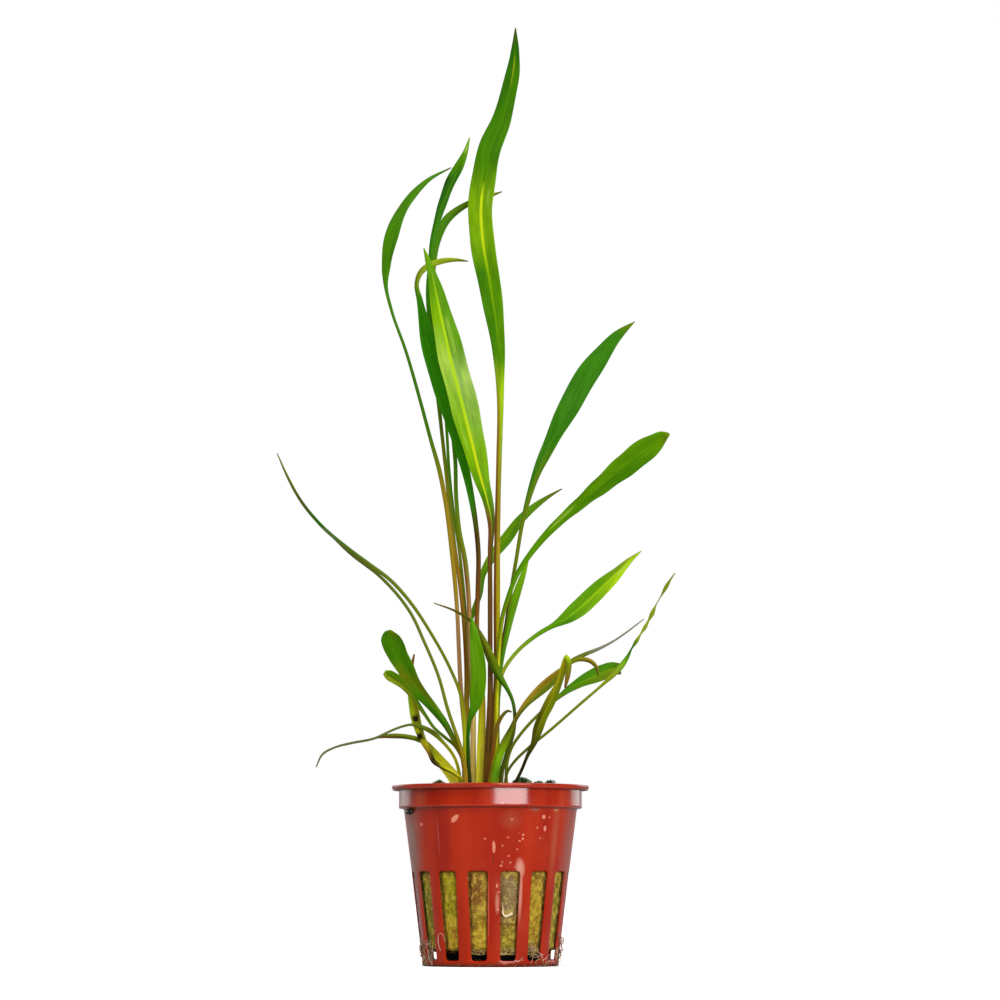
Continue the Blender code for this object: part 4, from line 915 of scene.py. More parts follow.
        (-7.0, 49.2, -6.6, 1.4), (-7.4, 55.2, -6.8, 1.3), (-8.4, 59.7, -7.0, 1.2),
        (-10.3, 63.4, -7.2, 1.4), (-12.9, 68.1, -7.6, 1.9), (-16.3, 72.5, -8.8, 2.6),
        (-19.7, 76.5, -10.4, 3.5), (-22.3, 80.2, -12.0, 4.0), (-24.1, 83.6, -13.6, 4.7),
        (-26.3, 87.3, -15.2, 5.5), (-27.8, 90.8, -16.6, 6.0), (-28.8, 93.2, -17.6, 4.6),
        (-29.2, 94.5, -18.0, 2.0),
    )),
    LeafPlan("leaf_small_folded", Slot.GREEN, -14.0, (
        (-7.2, 49.2, -4.6, 1.1), (-7.4, 54.7, -4.6, 1.0), (-8.2, 58.5, -4.4, 0.9),
        (-10.1, 61.8, -4.2, 0.9), (-12.9, 64.2, -4.0, 0.9), (-16.0, 66.9, -4.0, 0.9),
        (-18.3, 70.2, -4.2, 1.0), (-20.5, 73.4, -4.6, 1.4), (-22.9, 77.1, -5.0, 2.1),
        (-25.1, 79.6, -5.4, 2.8), (-27.5, 81.1, -5.8, 3.0), (-29.1, 82.0, -6.0, 2.8),
        (-30.2, 82.6, -6.2, 1.4),
    )),
    LeafPlan("leaf_decaying", Slot.YELLOW, 16.0, (
        (-7.2, 49.2, -3.4, 1.0), (-7.8, 51.9, -3.4, 1.0), (-10.6, 54.2, -3.0, 1.0),
        (-14.0, 55.9, -2.6, 1.1), (-16.1, 57.4, -2.2, 1.3), (-17.3, 60.0, -1.6, 1.4),
        (-19.0, 63.1, -1.0, 1.9), (-20.8, 68.0, -0.6, 2.6), (-21.7, 71.9, -0.6, 2.7),
        (-22.3, 76.2, -0.6, 2.4), (-22.6, 80.5, -0.8, 1.8), (-22.3, 84.7, -1.0, 1.0),
        (-21.7, 87.8, -1.0, 0.5),
    )),
    LeafPlan("leaf_low_left", Slot.YELLOW, -20.0, (
        (-8.9, 49.2, 2.0, 4.0), (-10.0, 52.3, 2.0, 3.8), (-12.0, 55.0, 2.0, 3.2),
        (-14.3, 57.7, 1.8, 2.7), (-16.3, 60.4, 1.6, 1.9), (-18.0, 62.3, 1.4, 1.5),
        (-21.1, 63.8, 1.0, 1.4), (-24.8, 64.5, 1.0, 1.4), (-27.9, 64.6, 1.0, 1.4),
        (-30.5, 64.4, 0.8, 0.9), (-32.6, 64.0, 0.8, 0.4),
    )),
    LeafPlan("leaf_curled_tail", Slot.OLIVE, 12.0, (
        (-9.0, 49.2, 0.0, 1.2), (-8.9, 54.2, 0.0, 1.0), (-10.3, 58.7, -0.2, 0.9),
        (-13.4, 62.8, -0.8, 1.0), (-16.3, 65.5, -1.4, 1.4), (-19.4, 67.1, -2.6, 1.2),
        (-22.2, 67.8, -3.8, 0.8), (-25.6, 67.1, -5.4, 0.7), (-29.0, 65.7, -7.0, 0.7),
        (-32.4, 64.1, -8.6, 0.7), (-39.8, 62.5, -12.0, 0.7), (-44.0, 61.4, -14.0, 0.6),
        (-47.7, 59.3, -15.6, 0.6), (-49.4, 55.8, -16.4, 0.3),
    )),
    LeafPlan("leaf_long_left_upper", Slot.OLIVE, 20.0, (
        (-7.2, 49.2, -2.4, 1.2), (-7.3, 63.2, -2.4, 1.0), (-7.6, 70.7, -2.4, 0.9),
        (-8.8, 77.2, -2.2, 0.9), (-11.5, 83.8, -1.4, 0.9), (-17.2, 94.2, 1.0, 0.9),
        (-22.9, 102.7, 5.0, 1.0), (-28.7, 109.1, 9.0, 1.1), (-34.4, 113.4, 13.0, 1.1),
        (-40.1, 117.6, 17.0, 1.1), (-48.7, 125.0, 23.0, 1.0), (-54.4, 132.0, 27.0, 0.9),
        (-58.5, 139.5, 30.0, 0.7), (-61.1, 145.4, 32.0, 0.3),
    )),
    LeafPlan("leaf_long_left_lower", Slot.OLIVE, -16.0, (
        (-6.9, 49.2, -8.6, 1.4), (-7.3, 56.2, -8.8, 1.2), (-8.6, 61.7, -9.2, 1.1),
        (-10.4, 67.0, -9.6, 1.0), (-11.9, 71.4, -10.0, 1.0), (-14.9, 81.9, -11.0, 0.9),
        (-18.8, 91.2, -12.0, 0.9), (-22.9, 99.8, -13.0, 0.9), (-25.9, 104.0, -13.6, 0.9),
        (-31.5, 110.0, -14.6, 0.9), (-40.0, 116.6, -16.0, 0.8), (-48.1, 124.2, -17.0, 0.3),
    )),
    LeafPlan("leaf_curled_sprout", Slot.OLIVE, 0.0, (
        (-1.6, 49.2, -6.6, 1.0), (-0.7, 55.2, -8.4, 1.0), (0.7, 60.6, -10.4, 1.0),
        (1.3, 64.3, -11.0, 1.1), (2.1, 68.0, -11.2, 1.2), (3.5, 70.5, -11.2, 1.0),
        (4.9, 71.7, -11.0, 0.8), (6.0, 71.4, -10.8, 0.4),
    )),)


# The pale sheen marks on the leaves are painted highlights.
LOOKS: dict[str, LeafLook] = {
    "leaf_tall": LeafLook(
        right=((0, BUTTER), (1, BUTTER), (1.8, YELLOW), (3, GOLD), (4.3, HONEY), (5.3, SAP), (6.2, LIME),
            (7, FRESH), (9.2, FRESH), (10.2, BAND), (11.4, BAND), (12.6, LEAF), (16, LEAF), (17.2, DEEP),
            (18, MUD)),
        left=((0, GOLD), (1, OCHRE), (2, BROWN), (4.4, BROWN), (5.6, OCHRE), (6.4, SAP), (7.2, LEAF),
            (9.2, LEAF), (10.2, BAND), (11.4, BAND), (12.6, LEAF), (17, DEEP), (18, MUD)),
        rib=((0, OCHRE), (6, LIME), (7, LEAF), (9.2, BAND), (10.0, SHARP), (11.4, SHARP), (12.0, LEAF),
            (15, LEAF), (16.2, SAP), (17, LEAF), (18, MUD)),
        rib_width=0.12,
        marks=(Mark(LeafMarkKind.PAINTED_SHEEN, 11.0, 0.66, 4.4, 0.3, 0.75),
            Mark(LeafMarkKind.PAINTED_SHEEN, 11.4, 0.6, 3.0, 0.3, 0.6))),
    "leaf_broad_front": LeafLook(
        # The silver and pale stops near the middle of the blade are painted reflection, where the blade
        # catches the light.
        right=((0, GOLD), (0.8, UMBER), (4, UMBER), (6, MUD), (7.2, FRESH), (8, BRIGHT), (8.8, BRIGHT),
            (10.5, SILVER), (11.4, FRESH), (12.4, FRESH), (13.5, FRESH), (15, BRIGHT)),
        left=((0, OCHRE), (0.8, UMBER), (4, UMBER), (6, BROWN), (7.2, LEAF), (8.6, BRIGHT), (9.4, BRIGHT),
            (11, PALE_SHEEN), (12, BRIGHT), (13, FRESH), (15, FRESH)),
        rib=((0, OCHRE), (5, UMBER), (6.4, LIME), (8, YELLOW), (10, LIME), (12, LIME), (14, FRESH)),
        rib_width=0.12, fold=20.0, ripple=0.3,
        marks=(Mark(LeafMarkKind.PAINTED_SHEEN, 11.6, 0.4, 5.5, 0.3, 0.9), Mark(LeafMarkKind.PAINTED_SHEEN, 10.4, 0.6, 5.0, 0.3, 0.9),
            Mark(LeafMarkKind.PAINTED_SHEEN, 9.2, -0.5, 6.0, 0.4, 0.6))),
    "leaf_left_arching": LeafLook(
        right=((0, YELLOW), (1, GOLD), (2, TAN), (3.6, TAN), (4.3, HONEY), (5.2, HONEY), (6.2, HONEY),
            (7.2, OLIVE), (8.4, LEAF), (16, LEAF), (17.5, LEAF), (18, MUD)),
        rib=((0, GOLD), (7, HONEY), (9, LEAF), (16, LEAF), (18, MUD)), rib_width=0.06, fold=12.0),
    "leaf_bent_tip": LeafLook(
        right=((0, BUTTER), (1, BUTTER), (2, GOLD), (3.4, OCHRE), (5, BROWN), (7, MUD), (8, FERN),
            (13, FERN), (14.2, SAP), (16.5, SAP), (18, OLIVE), (19, MUD)),
        left=((0, BUTTER), (1.2, YELLOW), (2.4, OCHRE), (4, BROWN), (6.5, DARK_BROWN), (8, FERN),
            (13, FERN), (14.2, OLIVE), (16.5, SAP), (18, SAP), (19, MUD)),
        rib=((0, BUTTER), (4, OCHRE), (9, FERN), (12, FERN), (15, OLIVE), (19, MUD)), rib_width=0.06,
        fold=18.0),
    "leaf_upper_left": LeafLook(
        right=((0, GOLD), (2, OCHRE), (4, OCHRE), (6, OLIVE), (7, OLIVE), (9, LEAF), (13, GRASS),
            (15.6, GRASS), (17, FRESH), (18, BRIGHT)),
        left=((0, GOLD), (2, BROWN), (5, OCHRE), (7, OLIVE), (10, GRASS), (13, DEEP), (15.2, DEEP),
            (16, LEAF), (17, FRESH), (18, BRIGHT)),
        rib=((0, GOLD), (9, OLIVE), (12, LEAF), (18, FRESH)), rib_width=0.07, fold=24.0,
        marks=(Mark(LeafMarkKind.PAINTED_SHEEN, 17.1, 0.1, 0.9, 0.35, 0.7),
            Mark(LeafMarkKind.BRUISE, 15.0, -0.8, 1.6, 0.25, 0.7))),
    "leaf_thin_behind": LeafLook(
        right=((0, GOLD), (2, OLIVE), (4, OLIVE), (6, LEAF), (8, LEAF), (11, LEAF), (13, OLIVE),
            (14.3, OLIVE), (15, BROWN)),
        rib=((0, OCHRE), (8, OLIVE), (12, OLIVE), (15, BROWN)), rib_width=0.06, fold=10.0),
    "leaf_hidden_middle": LeafLook(
        right=((0, CREAM), (2, CREAM), (3, PEACH), (4, TAN), (5, OLIVE), (8, LEAF), (13, DEEP)),
        left=((0, CREAM), (1.5, PEACH), (3, TAN), (4.5, BROWN), (6, OLIVE), (8, LEAF), (13, DEEP)),
        rib=((0, CREAM), (3, PEACH), (5, OLIVE), (9, LEAF), (13, LEAF)), fold=12.0),
    "leaf_right_upright": LeafLook(
        right=((0, YELLOW), (2, GOLD), (4, OCHRE), (6, OLIVE), (8, OLIVE), (10, GRASS), (14, GRASS),
            (15, OLIVE)),
        left=((0, GOLD), (3, BROWN), (5, MUD), (7, OLIVE), (9, GRASS), (14, GRASS), (15, OLIVE)),
        rib=((0, GOLD), (8, OLIVE), (10, GRASS), (14, GRASS), (15, OLIVE)), rib_width=0.06, fold=8.0),
    "leaf_right_blunt": LeafLook(
        right=((0, YELLOW), (3, YELLOW), (5, OLIVE), (7, FRESH), (9, FRESH), (12, LEAF), (14, FRESH),
            (16, OLIVE)),
        left=((0, GOLD), (4, OLIVE), (6, LEAF), (9, FRESH), (12, FRESH), (15, FRESH), (16, OLIVE)),
        rib=((0, YELLOW), (6, LEAF), (12, FRESH), (16, OLIVE)), rib_width=0.05, fold=10.0, ripple=0.3,
        wave=9.0,
        marks=(Mark(LeafMarkKind.PAINTED_SHEEN, 9.5, -0.3, 5.0, 0.35, 0.8),)),
    "leaf_leaning_behind": LeafLook(
        right=((0, OLIVE), (4, LEAF), (7, FRESH), (10, FRESH), (11.3, OLIVE), (12, BRONZE)),
        left=((0, OLIVE), (4, FRESH), (7, BRIGHT), (10, FRESH), (12, BRONZE)),
        rib=((0, OLIVE), (5, FRESH), (12, OLIVE)), rib_width=0.07, fold=12.0),
    "leaf_front_centre": LeafLook(
        right=((0, INK), (3, DEEP), (5, LEAF), (7, FRESH), (11, FRESH)),
        left=((0, INK), (3, DEEP), (5, LEAF), (8, FRESH), (11, LEAF)),
        rib=((0, MUD), (4, LEAF), (8, FRESH), (11, BRIGHT)), rib_width=0.08, fold=16.0),
    "leaf_small_lance": LeafLook(
        right=((0, OLIVE), (4, LEAF), (5, FRESH), (8, BRIGHT)),
        rib=((0, OLIVE), (8, BRIGHT)), fold=12.0),
    "leaf_drooping": LeafLook(
        right=((0, MUD), (4, MUD), (6, LEAF), (9, OLIVE), (11, MUD), (13, BRONZE)),
        left=((0, MUD), (4, DEEP), (6, DEEP), (9, MUD), (11, MUD), (13, BRONZE)),
        rib=((0, MUD), (6, OLIVE), (10, BRONZE), (13, BRONZE)), rib_width=0.08),
    "leaf_olive_arching": LeafLook(
        right=((0, OLIVE), (1, LEAF), (2, BRIGHT), (3.4, OLIVE), (5, MUD), (7, OLIVE), (9, OLIVE),
            (11, OLIVE), (13, BRONZE), (15, MUD)),
        left=((0, OLIVE), (1, FRESH), (2, BRIGHT), (3, OLIVE), (4, MUD), (6, HONEY), (7.2, HONEY),
            (9, HONEY), (11, OLIVE), (13, HONEY), (15, BRONZE)),
        rib=((0, OLIVE), (2, BRIGHT), (4, OLIVE), (8, HONEY), (15, BRONZE)), rib_width=0.08, fold=16.0),
    "leaf_folded_top": LeafLook(
        right=((0, INK), (1.6, INK), (3, MUD), (5, OLIVE), (7, OLIVE), (8.5, SALLOW), (9.3, LIME),
            (10.3, OLIVE), (12, BROWN)),
        left=((0, INK), (1.6, INK), (3, MUD), (5, MUD), (7, SALLOW), (8.5, SALLOW), (9.3, LIME),
            (10.3, OLIVE), (12, BROWN)),
        rib=((0, INK), (3, MUD), (6, SALLOW), (12, OCHRE)), rib_width=0.08, fold=6.0, ripple=0.1),
    "leaf_green_low_right": LeafLook(
        right=((0, OLIVE), (4, OLIVE), (7, LEAF), (11, OLIVE), (12, MUD)),
        left=((0, OLIVE), (4, OLIVE), (7, LEAF), (11, LEAF), (12, MUD)),
        rib=((0, OLIVE), (8, FRESH), (12, OLIVE)),
        marks=(Mark(LeafMarkKind.BRUISE, 12.0, 0.6, 0.9, 0.5, 0.8),)),
    "leaf_dry_grey_tip": LeafLook(
        right=((0, MUD), (6, GREY_GREEN), (8, GREY_GREEN), (9, ASH), (12, ASH)),
        rib=((0, MUD), (8, GREY_GREEN), (9, ASH), (12, ASH)), fold=12.0),
    "leaf_twisted": LeafLook(
        right=((0, MUD), (4, OLIVE), (7, SAP), (8, BRIGHT), (9, LEAF), (10, DEEP), (12, SAP), (20, OLIVE)),
        rib=((0, MUD), (4, SAP), (7, SILVER), (8.6, SILVER), (10, SAP), (20, OLIVE)), rib_width=0.3,
        fold=10.0),
    "leaf_bright_right": LeafLook(
        right=((0, HONEY), (4, SAP), (8, FRESH), (10, LEAF), (12, BRIGHT), (14, LIME), (16, LIME)),
        left=((0, HONEY), (4, SAP), (8, FRESH), (10, FRESH), (13, FRESH), (15, SAP), (16, SAP)),
        rib=((0, HONEY), (8, FRESH), (11, BRIGHT), (14, LIME), (16, LIME)), rib_width=0.08,
        marks=(Mark(LeafMarkKind.PAINTED_SHEEN, 14.2, 0.3, 3.4, 0.22, 0.8),
            Mark(LeafMarkKind.PAINTED_SHEEN, 11.4, 0.66, 1.6, 0.2, 0.6))),
    "leaf_spoon_left": LeafLook(
        right=((0, GOLD), (2, OLIVE), (4, LEAF), (6.5, OLIVE), (8, LEAF), (10, LEAF), (12, OLIVE)),
        left=((0, OCHRE), (2, OCHRE), (4, DEEP), (6, LEAF), (7.5, OLIVE), (9, LEAF), (12, LEAF)),
        rib=((0, OLIVE), (5, LEAF), (11, LEAF)), rib_width=0.06),
    "leaf_small_folded": LeafLook(
        right=((0, LEAF), (5, LEAF), (8, FRESH), (12, BRIGHT)),
        left=((0, LEAF), (5, OLIVE), (8, SAP), (12, SAP)),
        rib=((0, LEAF), (7, LEAF), (8, MUD), (12, MUD)), rib_width=0.07, fold=22.0),
    "leaf_decaying": LeafLook(
        right=((0, BUTTER), (1.6, BUTTER), (2.6, YELLOW), (3.4, MUD), (4.2, INK), (4.8, MUD),
            (5.6, SALLOW), (6.6, OLIVE), (8, SALLOW), (10, SALLOW), (11, BROWN), (12, BROWN)),
        left=((0, YELLOW), (1.6, SALLOW), (2.6, MUD), (3.4, DARK_BROWN), (4.2, DARK_BROWN), (5.2, OCHRE),
            (6, SALLOW), (9, LIME), (11, BROWN), (12, BROWN)),
        rib=((0, YELLOW), (2.6, INK), (4.6, MUD), (6, SALLOW), (9, SALLOW), (12, BROWN)), fold=12.0,
        ripple=0.35, wave=8.0,
        marks=(Mark(LeafMarkKind.BRUISE, 7.4, 0.0, 1.0, 1.1, 1.2), Mark(LeafMarkKind.BRUISE, 6.3, -0.3, 1.1, 1.0, 1.2),
            Mark(LeafMarkKind.BRUISE, 9.4, -0.3, 1.2, 0.5, 0.6), Mark(LeafMarkKind.BRUISE, 8.4, 0.8, 1.6, 0.2, 0.6))),
    "leaf_low_left": LeafLook(
        right=((0, BUTTER), (1.4, BUTTER), (3, YELLOW), (4.4, SALLOW), (5.6, OLIVE), (7, OLIVE), (10, MUD)),
        left=((0, BUTTER), (1.4, BUTTER), (3, YELLOW), (4.4, OLIVE), (5.6, OLIVE), (7, MUD), (10, BROWN)),
        rib=((0, BUTTER), (4, OLIVE), (10, DRY)), rib_width=0.06),
    "leaf_curled_tail": LeafLook(
        right=((0, YELLOW), (2, YELLOW), (4, OLIVE), (6, GREY_GREEN), (10, ASHEN), (13, ASHEN)),
        rib=((0, YELLOW), (5, OLIVE), (13, ASHEN)), fold=10.0),
    "leaf_long_left_upper": LeafLook(
        right=((0, YELLOW), (4, OLIVE), (8, GREY_GREEN), (10, DEEP), (11, MUD), (13, OLIVE)),
        rib=((0, YELLOW), (6, OLIVE), (13, ASHEN)), fold=10.0),
    "leaf_long_left_lower": LeafLook(
        right=((0, OCHRE), (4, OLIVE), (8, GREY_GREEN), (10, MUD), (11, ASHEN)),
        rib=((0, OCHRE), (6, OLIVE), (11, ASHEN)), fold=10.0),
    "leaf_curled_sprout": LeafLook(
        right=((0, DARK_BROWN), (2, BROWN), (4, BRONZE), (7, MUD)),
        rib=((0, BROWN), (7, MUD)), fold=0.0),
}


class GeometryTree(Sketch):
    """A Geometry Nodes tree with named inputs, whose result is turned to a plain mesh."""

    def __init__(self, name: str, inputs: dict[str, tuple[str, Any]]) -> None:
        """Begins the tree.

        Args:
            name: The tree's name.
            inputs: The kind and the first value of each input, by name.
        """
        tree = bpy.data.node_groups.new(name, "GeometryNodeTree")
        super().__init__(tree)
        tree.interface.new_socket("Geometry", in_out="INPUT", socket_type="NodeSocketGeometry")
        self.identifiers: dict[str, str] = {}
        for label, (kind, value) in inputs.items():
            socket = tree.interface.new_socket(label, in_out="INPUT", socket_type="NodeSocket" + kind)
            socket.default_value = value
            self.identifiers[label] = socket.identifier
        socket = tree.interface.new_socket("Material", in_out="INPUT", socket_type="NodeSocketMaterial")
        self.identifiers["Material"] = socket.identifier
        tree.interface.new_socket("Geometry", in_out="OUTPUT", socket_type="NodeSocketGeometry")
        self.given = self.add("NodeGroupInput").outputs
        self.wanted = self.add("NodeGroupOutput").inputs

    def end(self, geometry: Socket) -> None:
        """Ends the tree with real geometry in one material.

        Args:
            geometry: The geometry that comes out.
        """
        real = self.out("GeometryNodeRealizeInstances", {"Geometry": geometry})
        inputs = {"Geometry": real, "Material": self.given["Material"]}
        self.put(self.wanted[0], self.out("GeometryNodeSetMaterial", inputs))

    def grow(self, piece: Piece, **values: Any) -> None:
        """Runs the tree on a piece and keeps its result as the piece's own mesh.

        Args:
            piece: The piece.
            values: The tree's inputs, by name.
        """
        modifier = piece.modifiers.new(self.tree.name, "NODES")
        modifier.node_group = self.tree
        for label, value in values.items():
            modifier[self.identifiers[label]] = value
        graph = bpy.context.evaluated_depsgraph_get()
        mesh = bpy.data.meshes.new_from_object(piece.evaluated_get(graph), depsgraph=graph)
        piece.modifiers.remove(modifier)
        piece.data = mesh
        mesh.name = piece.name


class Repeater(GeometryTree):
    """Turns one sector of a round thing into the whole of it."""

    WELD = 0.004 * MM

    def __init__(self) -> None:
        """Builds the tree."""
        super().__init__("repeat_round", {"Count": ("Int", 15)})
        points = self.out("GeometryNodePoints", {"Count": self.given["Count"]})
        pitch = self.math("DIVIDE", 2.0 * math.pi, self.given["Count"])
        turn = self.times(self.out("GeometryNodeInputIndex"), pitch)
        euler = self.out("ShaderNodeCombineXYZ", {2: turn})
        inputs = {"Points": points, "Instance": self.given["Geometry"], "Rotation": euler}
        ring = self.out("GeometryNodeInstanceOnPoints", inputs)
        ring = self.out("GeometryNodeRealizeInstances", {"Geometry": ring})
        self.end(self.out("GeometryNodeMergeByDistance", {"Geometry": ring, "Distance": self.WELD}))


class Fur(GeometryTree):
    """Scatters short bent fibres over a surface."""

    # Where a fibre's bend is, as shares of its length to each side and of its lift.
    BEND = (0.4, 0.35, 0.9)
    SHORTEST = 0.35

    def __init__(self) -> None:
        """Builds the tree."""
        super().__init__("scatter_fibres", {
            "Density": ("Float", 1.0e6), "Length": ("Float", 2.0 * MM), "Thickness": ("Float", 0.05 * MM),
            "Lift": ("Float", 0.5), "Seed": ("Int", 1),
        })
        given = self.given
        inputs = {"Mesh": given["Geometry"], "Density": given["Density"], "Seed": given["Seed"]}
        spread = self.add("GeometryNodeDistributePointsOnFaces", inputs).outputs
        length = given["Length"]
        rise = self.times(length, given["Lift"])
        along, aside, up = self.BEND
        bend = {0: self.times(length, along), 1: self.times(length, aside), 2: self.times(rise, up)}
        curve = {"Resolution": 5, "Start": (0.0, 0.0, 0.0), "Middle": self.out("ShaderNodeCombineXYZ", bend),
                 "End": self.out("ShaderNodeCombineXYZ", {0: length, 2: rise})}
        curve = self.out("GeometryNodeCurveQuadraticBezier", curve)
        circle = {"Resolution": 3, "Radius": self.times(given["Thickness"], 0.5)}
        circle = self.out("GeometryNodeCurvePrimitiveCircle", circle)
        inputs = {"Curve": curve, "Profile Curve": circle, "Fill Caps": True}
        fibre = self.out("GeometryNodeCurveToMesh", inputs)
        spin = self.add("FunctionNodeRandomValue", {2: 0.0, 3: 2.0 * math.pi, "Seed": 3}).outputs[1]
        about = self.out("FunctionNodeAxisAngleToRotation", {"Axis": (0.0, 0.0, 1.0), "Angle": spin})
        turned = {0: spread["Rotation"], 1: about}
        turned = self.out("FunctionNodeRotateRotation", turned, rotation_space="LOCAL")
        size = self.add("FunctionNodeRandomValue", {2: self.SHORTEST, 3: 1.0, "Seed": 5}).outputs[1]
        inputs = {"Points": spread["Points"], "Instance": fibre, "Rotation": turned, "Scale": size}
        self.end(self.out("GeometryNodeInstanceOnPoints", inputs))


class Threads(GeometryTree):
    """Turns runs of edges into wandering tapered threads."""

    # How fine a thread's wandering is.
    WANDER = 900.0

    def __init__(self) -> None:
        """Builds the tree."""
        super().__init__("threads_on_runs", {
            "Thickness": ("Float", 0.3 * MM), "Step": ("Float", 0.4 * MM), "Wander": ("Float", 0.3 * MM),
            "Taper": ("Float", 0.6),
        })
        curve = self.out("GeometryNodeMeshToCurve", {"Mesh": self.given["Geometry"]})
        curve = self.out("GeometryNodeCurveSplineType", {"Curve": curve}, spline_type="CATMULL_ROM")
        inputs = {"Curve": curve, "Length": self.given["Step"]}
        curve = self.out("GeometryNodeResampleCurve", inputs, mode="LENGTH")
        inputs = {"Vector": self.out("GeometryNodeInputPosition"), "Scale": self.WANDER, "Detail": 2.0}
        cloud = self.add("ShaderNodeTexNoise", inputs).outputs["Color"]
        drift = self.out("ShaderNodeVectorMath", {0: cloud, 1: (0.5, 0.5, 0.5)}, operation="SUBTRACT")
        inputs = {0: drift, "Scale": self.given["Wander"]}
        drift = self.out("ShaderNodeVectorMath", inputs, operation="SCALE")
        curve = self.out("GeometryNodeSetPosition", {"Geometry": curve, "Offset": drift})
        reach = self.add("GeometryNodeSplineParameter").outputs["Factor"]
        thin = self.math("SUBTRACT", 1.0, self.times(reach, self.given["Taper"]))
        radius = self.times(thin, self.times(self.given["Thickness"], 0.5))
        circle = self.out("GeometryNodeCurvePrimitiveCircle", {"Resolution": 6, "Radius": 1.0})
        inputs = {"Curve": curve, "Profile Curve": circle, "Scale": radius, "Fill Caps": True}
        self.end(self.out("GeometryNodeCurveToMesh", inputs))


def make_piece(name: str, points_mm: np.ndarray, faces: Iterable[Sequence[int]],
               material: Material | None = None, edges: Iterable[Sequence[int]] = ()) -> Piece:
    """Makes one smooth piece, with its faces turned outwards.

    Args:
        name: Its name.
        points_mm: Its points, in millimetres.
        faces: The point numbers of each face.
        material: Its material.
        edges: Loose edges, for a piece that is still only runs.

    Returns:
        The piece, in the scene.
    """
    mesh = bpy.data.meshes.new(name)
    mesh.from_pydata((np.asarray(points_mm, float) * MM).tolist(), [tuple(e) for e in edges],
                     [tuple(f) for f in faces])
    if mesh.polygons:
        turn_outwards(mesh)
    if material:
        mesh.materials.append(material)
    piece = bpy.data.objects.new(name, mesh)
    bpy.context.scene.collection.objects.link(piece)
    return piece


def copied(piece: Piece, name: str) -> Piece:
    """A copy of a piece with a mesh of its own.

    Args:
        piece: The piece.
        name: The copy's name.

    Returns:
        The copy, in the scene.
    """
    copy = piece.copy()
    copy.data = piece.data.copy()
    copy.name = name
    bpy.context.scene.collection.objects.link(copy)
    return copy


def merge(piece: Piece, *others: Piece) -> Piece:
    """Joins other meshes into a piece.

    Args:
        piece: The piece that stays.
        others: The objects that go into it.

    Returns:
        The piece.
    """
    both = [piece, *others]
    with bpy.context.temp_override(active_object=piece, object=piece, selected_editable_objects=both,
                                   selected_objects=both):
        bpy.ops.object.join()
    return piece


def ring_faces(rows: int, around: int, closed: bool = True) -> list[tuple[int, ...]]:
    """The faces of a tube of rings of points.

    Args:
        rows: How many rings there are.
        around: How many points each has.
        closed: Whether its first and its last ring are closed by a face.

    Returns:
        The point numbers of each face.
    """
    faces = [(row * around + k, row * around + (k + 1) % around, (row + 1) * around + (k + 1) % around,
              (row + 1) * around + k) for row in range(rows - 1) for k in range(around)]
    last = (rows - 1) * around
    return faces + ([tuple(range(around)), tuple(range(last, last + around))] if closed else [])


def turn_outwards(mesh: bpy.types.Mesh) -> None:
    """Turns the mesh's faces outwards and shades them smooth.

    Args:
        mesh: The mesh.
    """
    work = bmesh.new()
    work.from_mesh(mesh)
    bmesh.ops.recalc_face_normals(work, faces=work.faces)
    work.to_mesh(mesh)
    work.free()
    mesh.polygons.foreach_set("use_smooth", [True] * len(mesh.polygons))
    mesh.update()


def shade_by_angle(mesh: bpy.types.Mesh, degrees: float) -> None:
    """Keeps the edges crisp where faces meet at more than an angle.

    Args:
        mesh: The mesh.
        degrees: The angle.
    """
    work = bmesh.new()
    work.from_mesh(mesh)
    for edge in work.edges:
        edge.smooth = len(edge.link_faces) != 2 or edge.calc_face_angle(0.0) < math.radians(degrees)
    work.to_mesh(mesh)
    work.free()


def hand_over(piece: Piece, slot: Slot, *nodes: str) -> None:
    """Ties a finished piece to the frame.

    Args:
        piece: The piece.
        slot: The record's slot that its finish belongs to. It is not used.
        nodes: The CAD nodes that it stands for.
    """
    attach(piece, BODY)
    if nodes:
        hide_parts(*nodes)
    LOG.info("%s: %d points", piece.name, len(piece.data.vertices))


def on_pot(bearing: float, radius: float, height: float) -> np.ndarray:
    """A point beside the pot's axis, in millimetres.

    Args:
        bearing: Its bearing in degrees, 0 towards the eye and growing to the right.
        radius: Its distance from the axis.
        height: Its height.

    Returns:
        The point.
    """
    a = math.radians(bearing)
    return np.array((radius * math.sin(a), -radius * math.cos(a), height))


def lump_axes(bearing: float, thick: float, wide: float, tall: float) -> tuple[np.ndarray, ...]:
    """The half axes of a lump beside the pot's axis.

    Args:
        bearing: The bearing that it lies at.
        thick: Its half size outwards.
        wide: Its half size sideways.
        tall: Its half size upwards.

    Returns:
        The three half axes.
    """
    return on_pot(bearing, thick, 0.0), on_pot(bearing + 90.0, wide, 0.0), np.array((0.0, 0.0, tall))


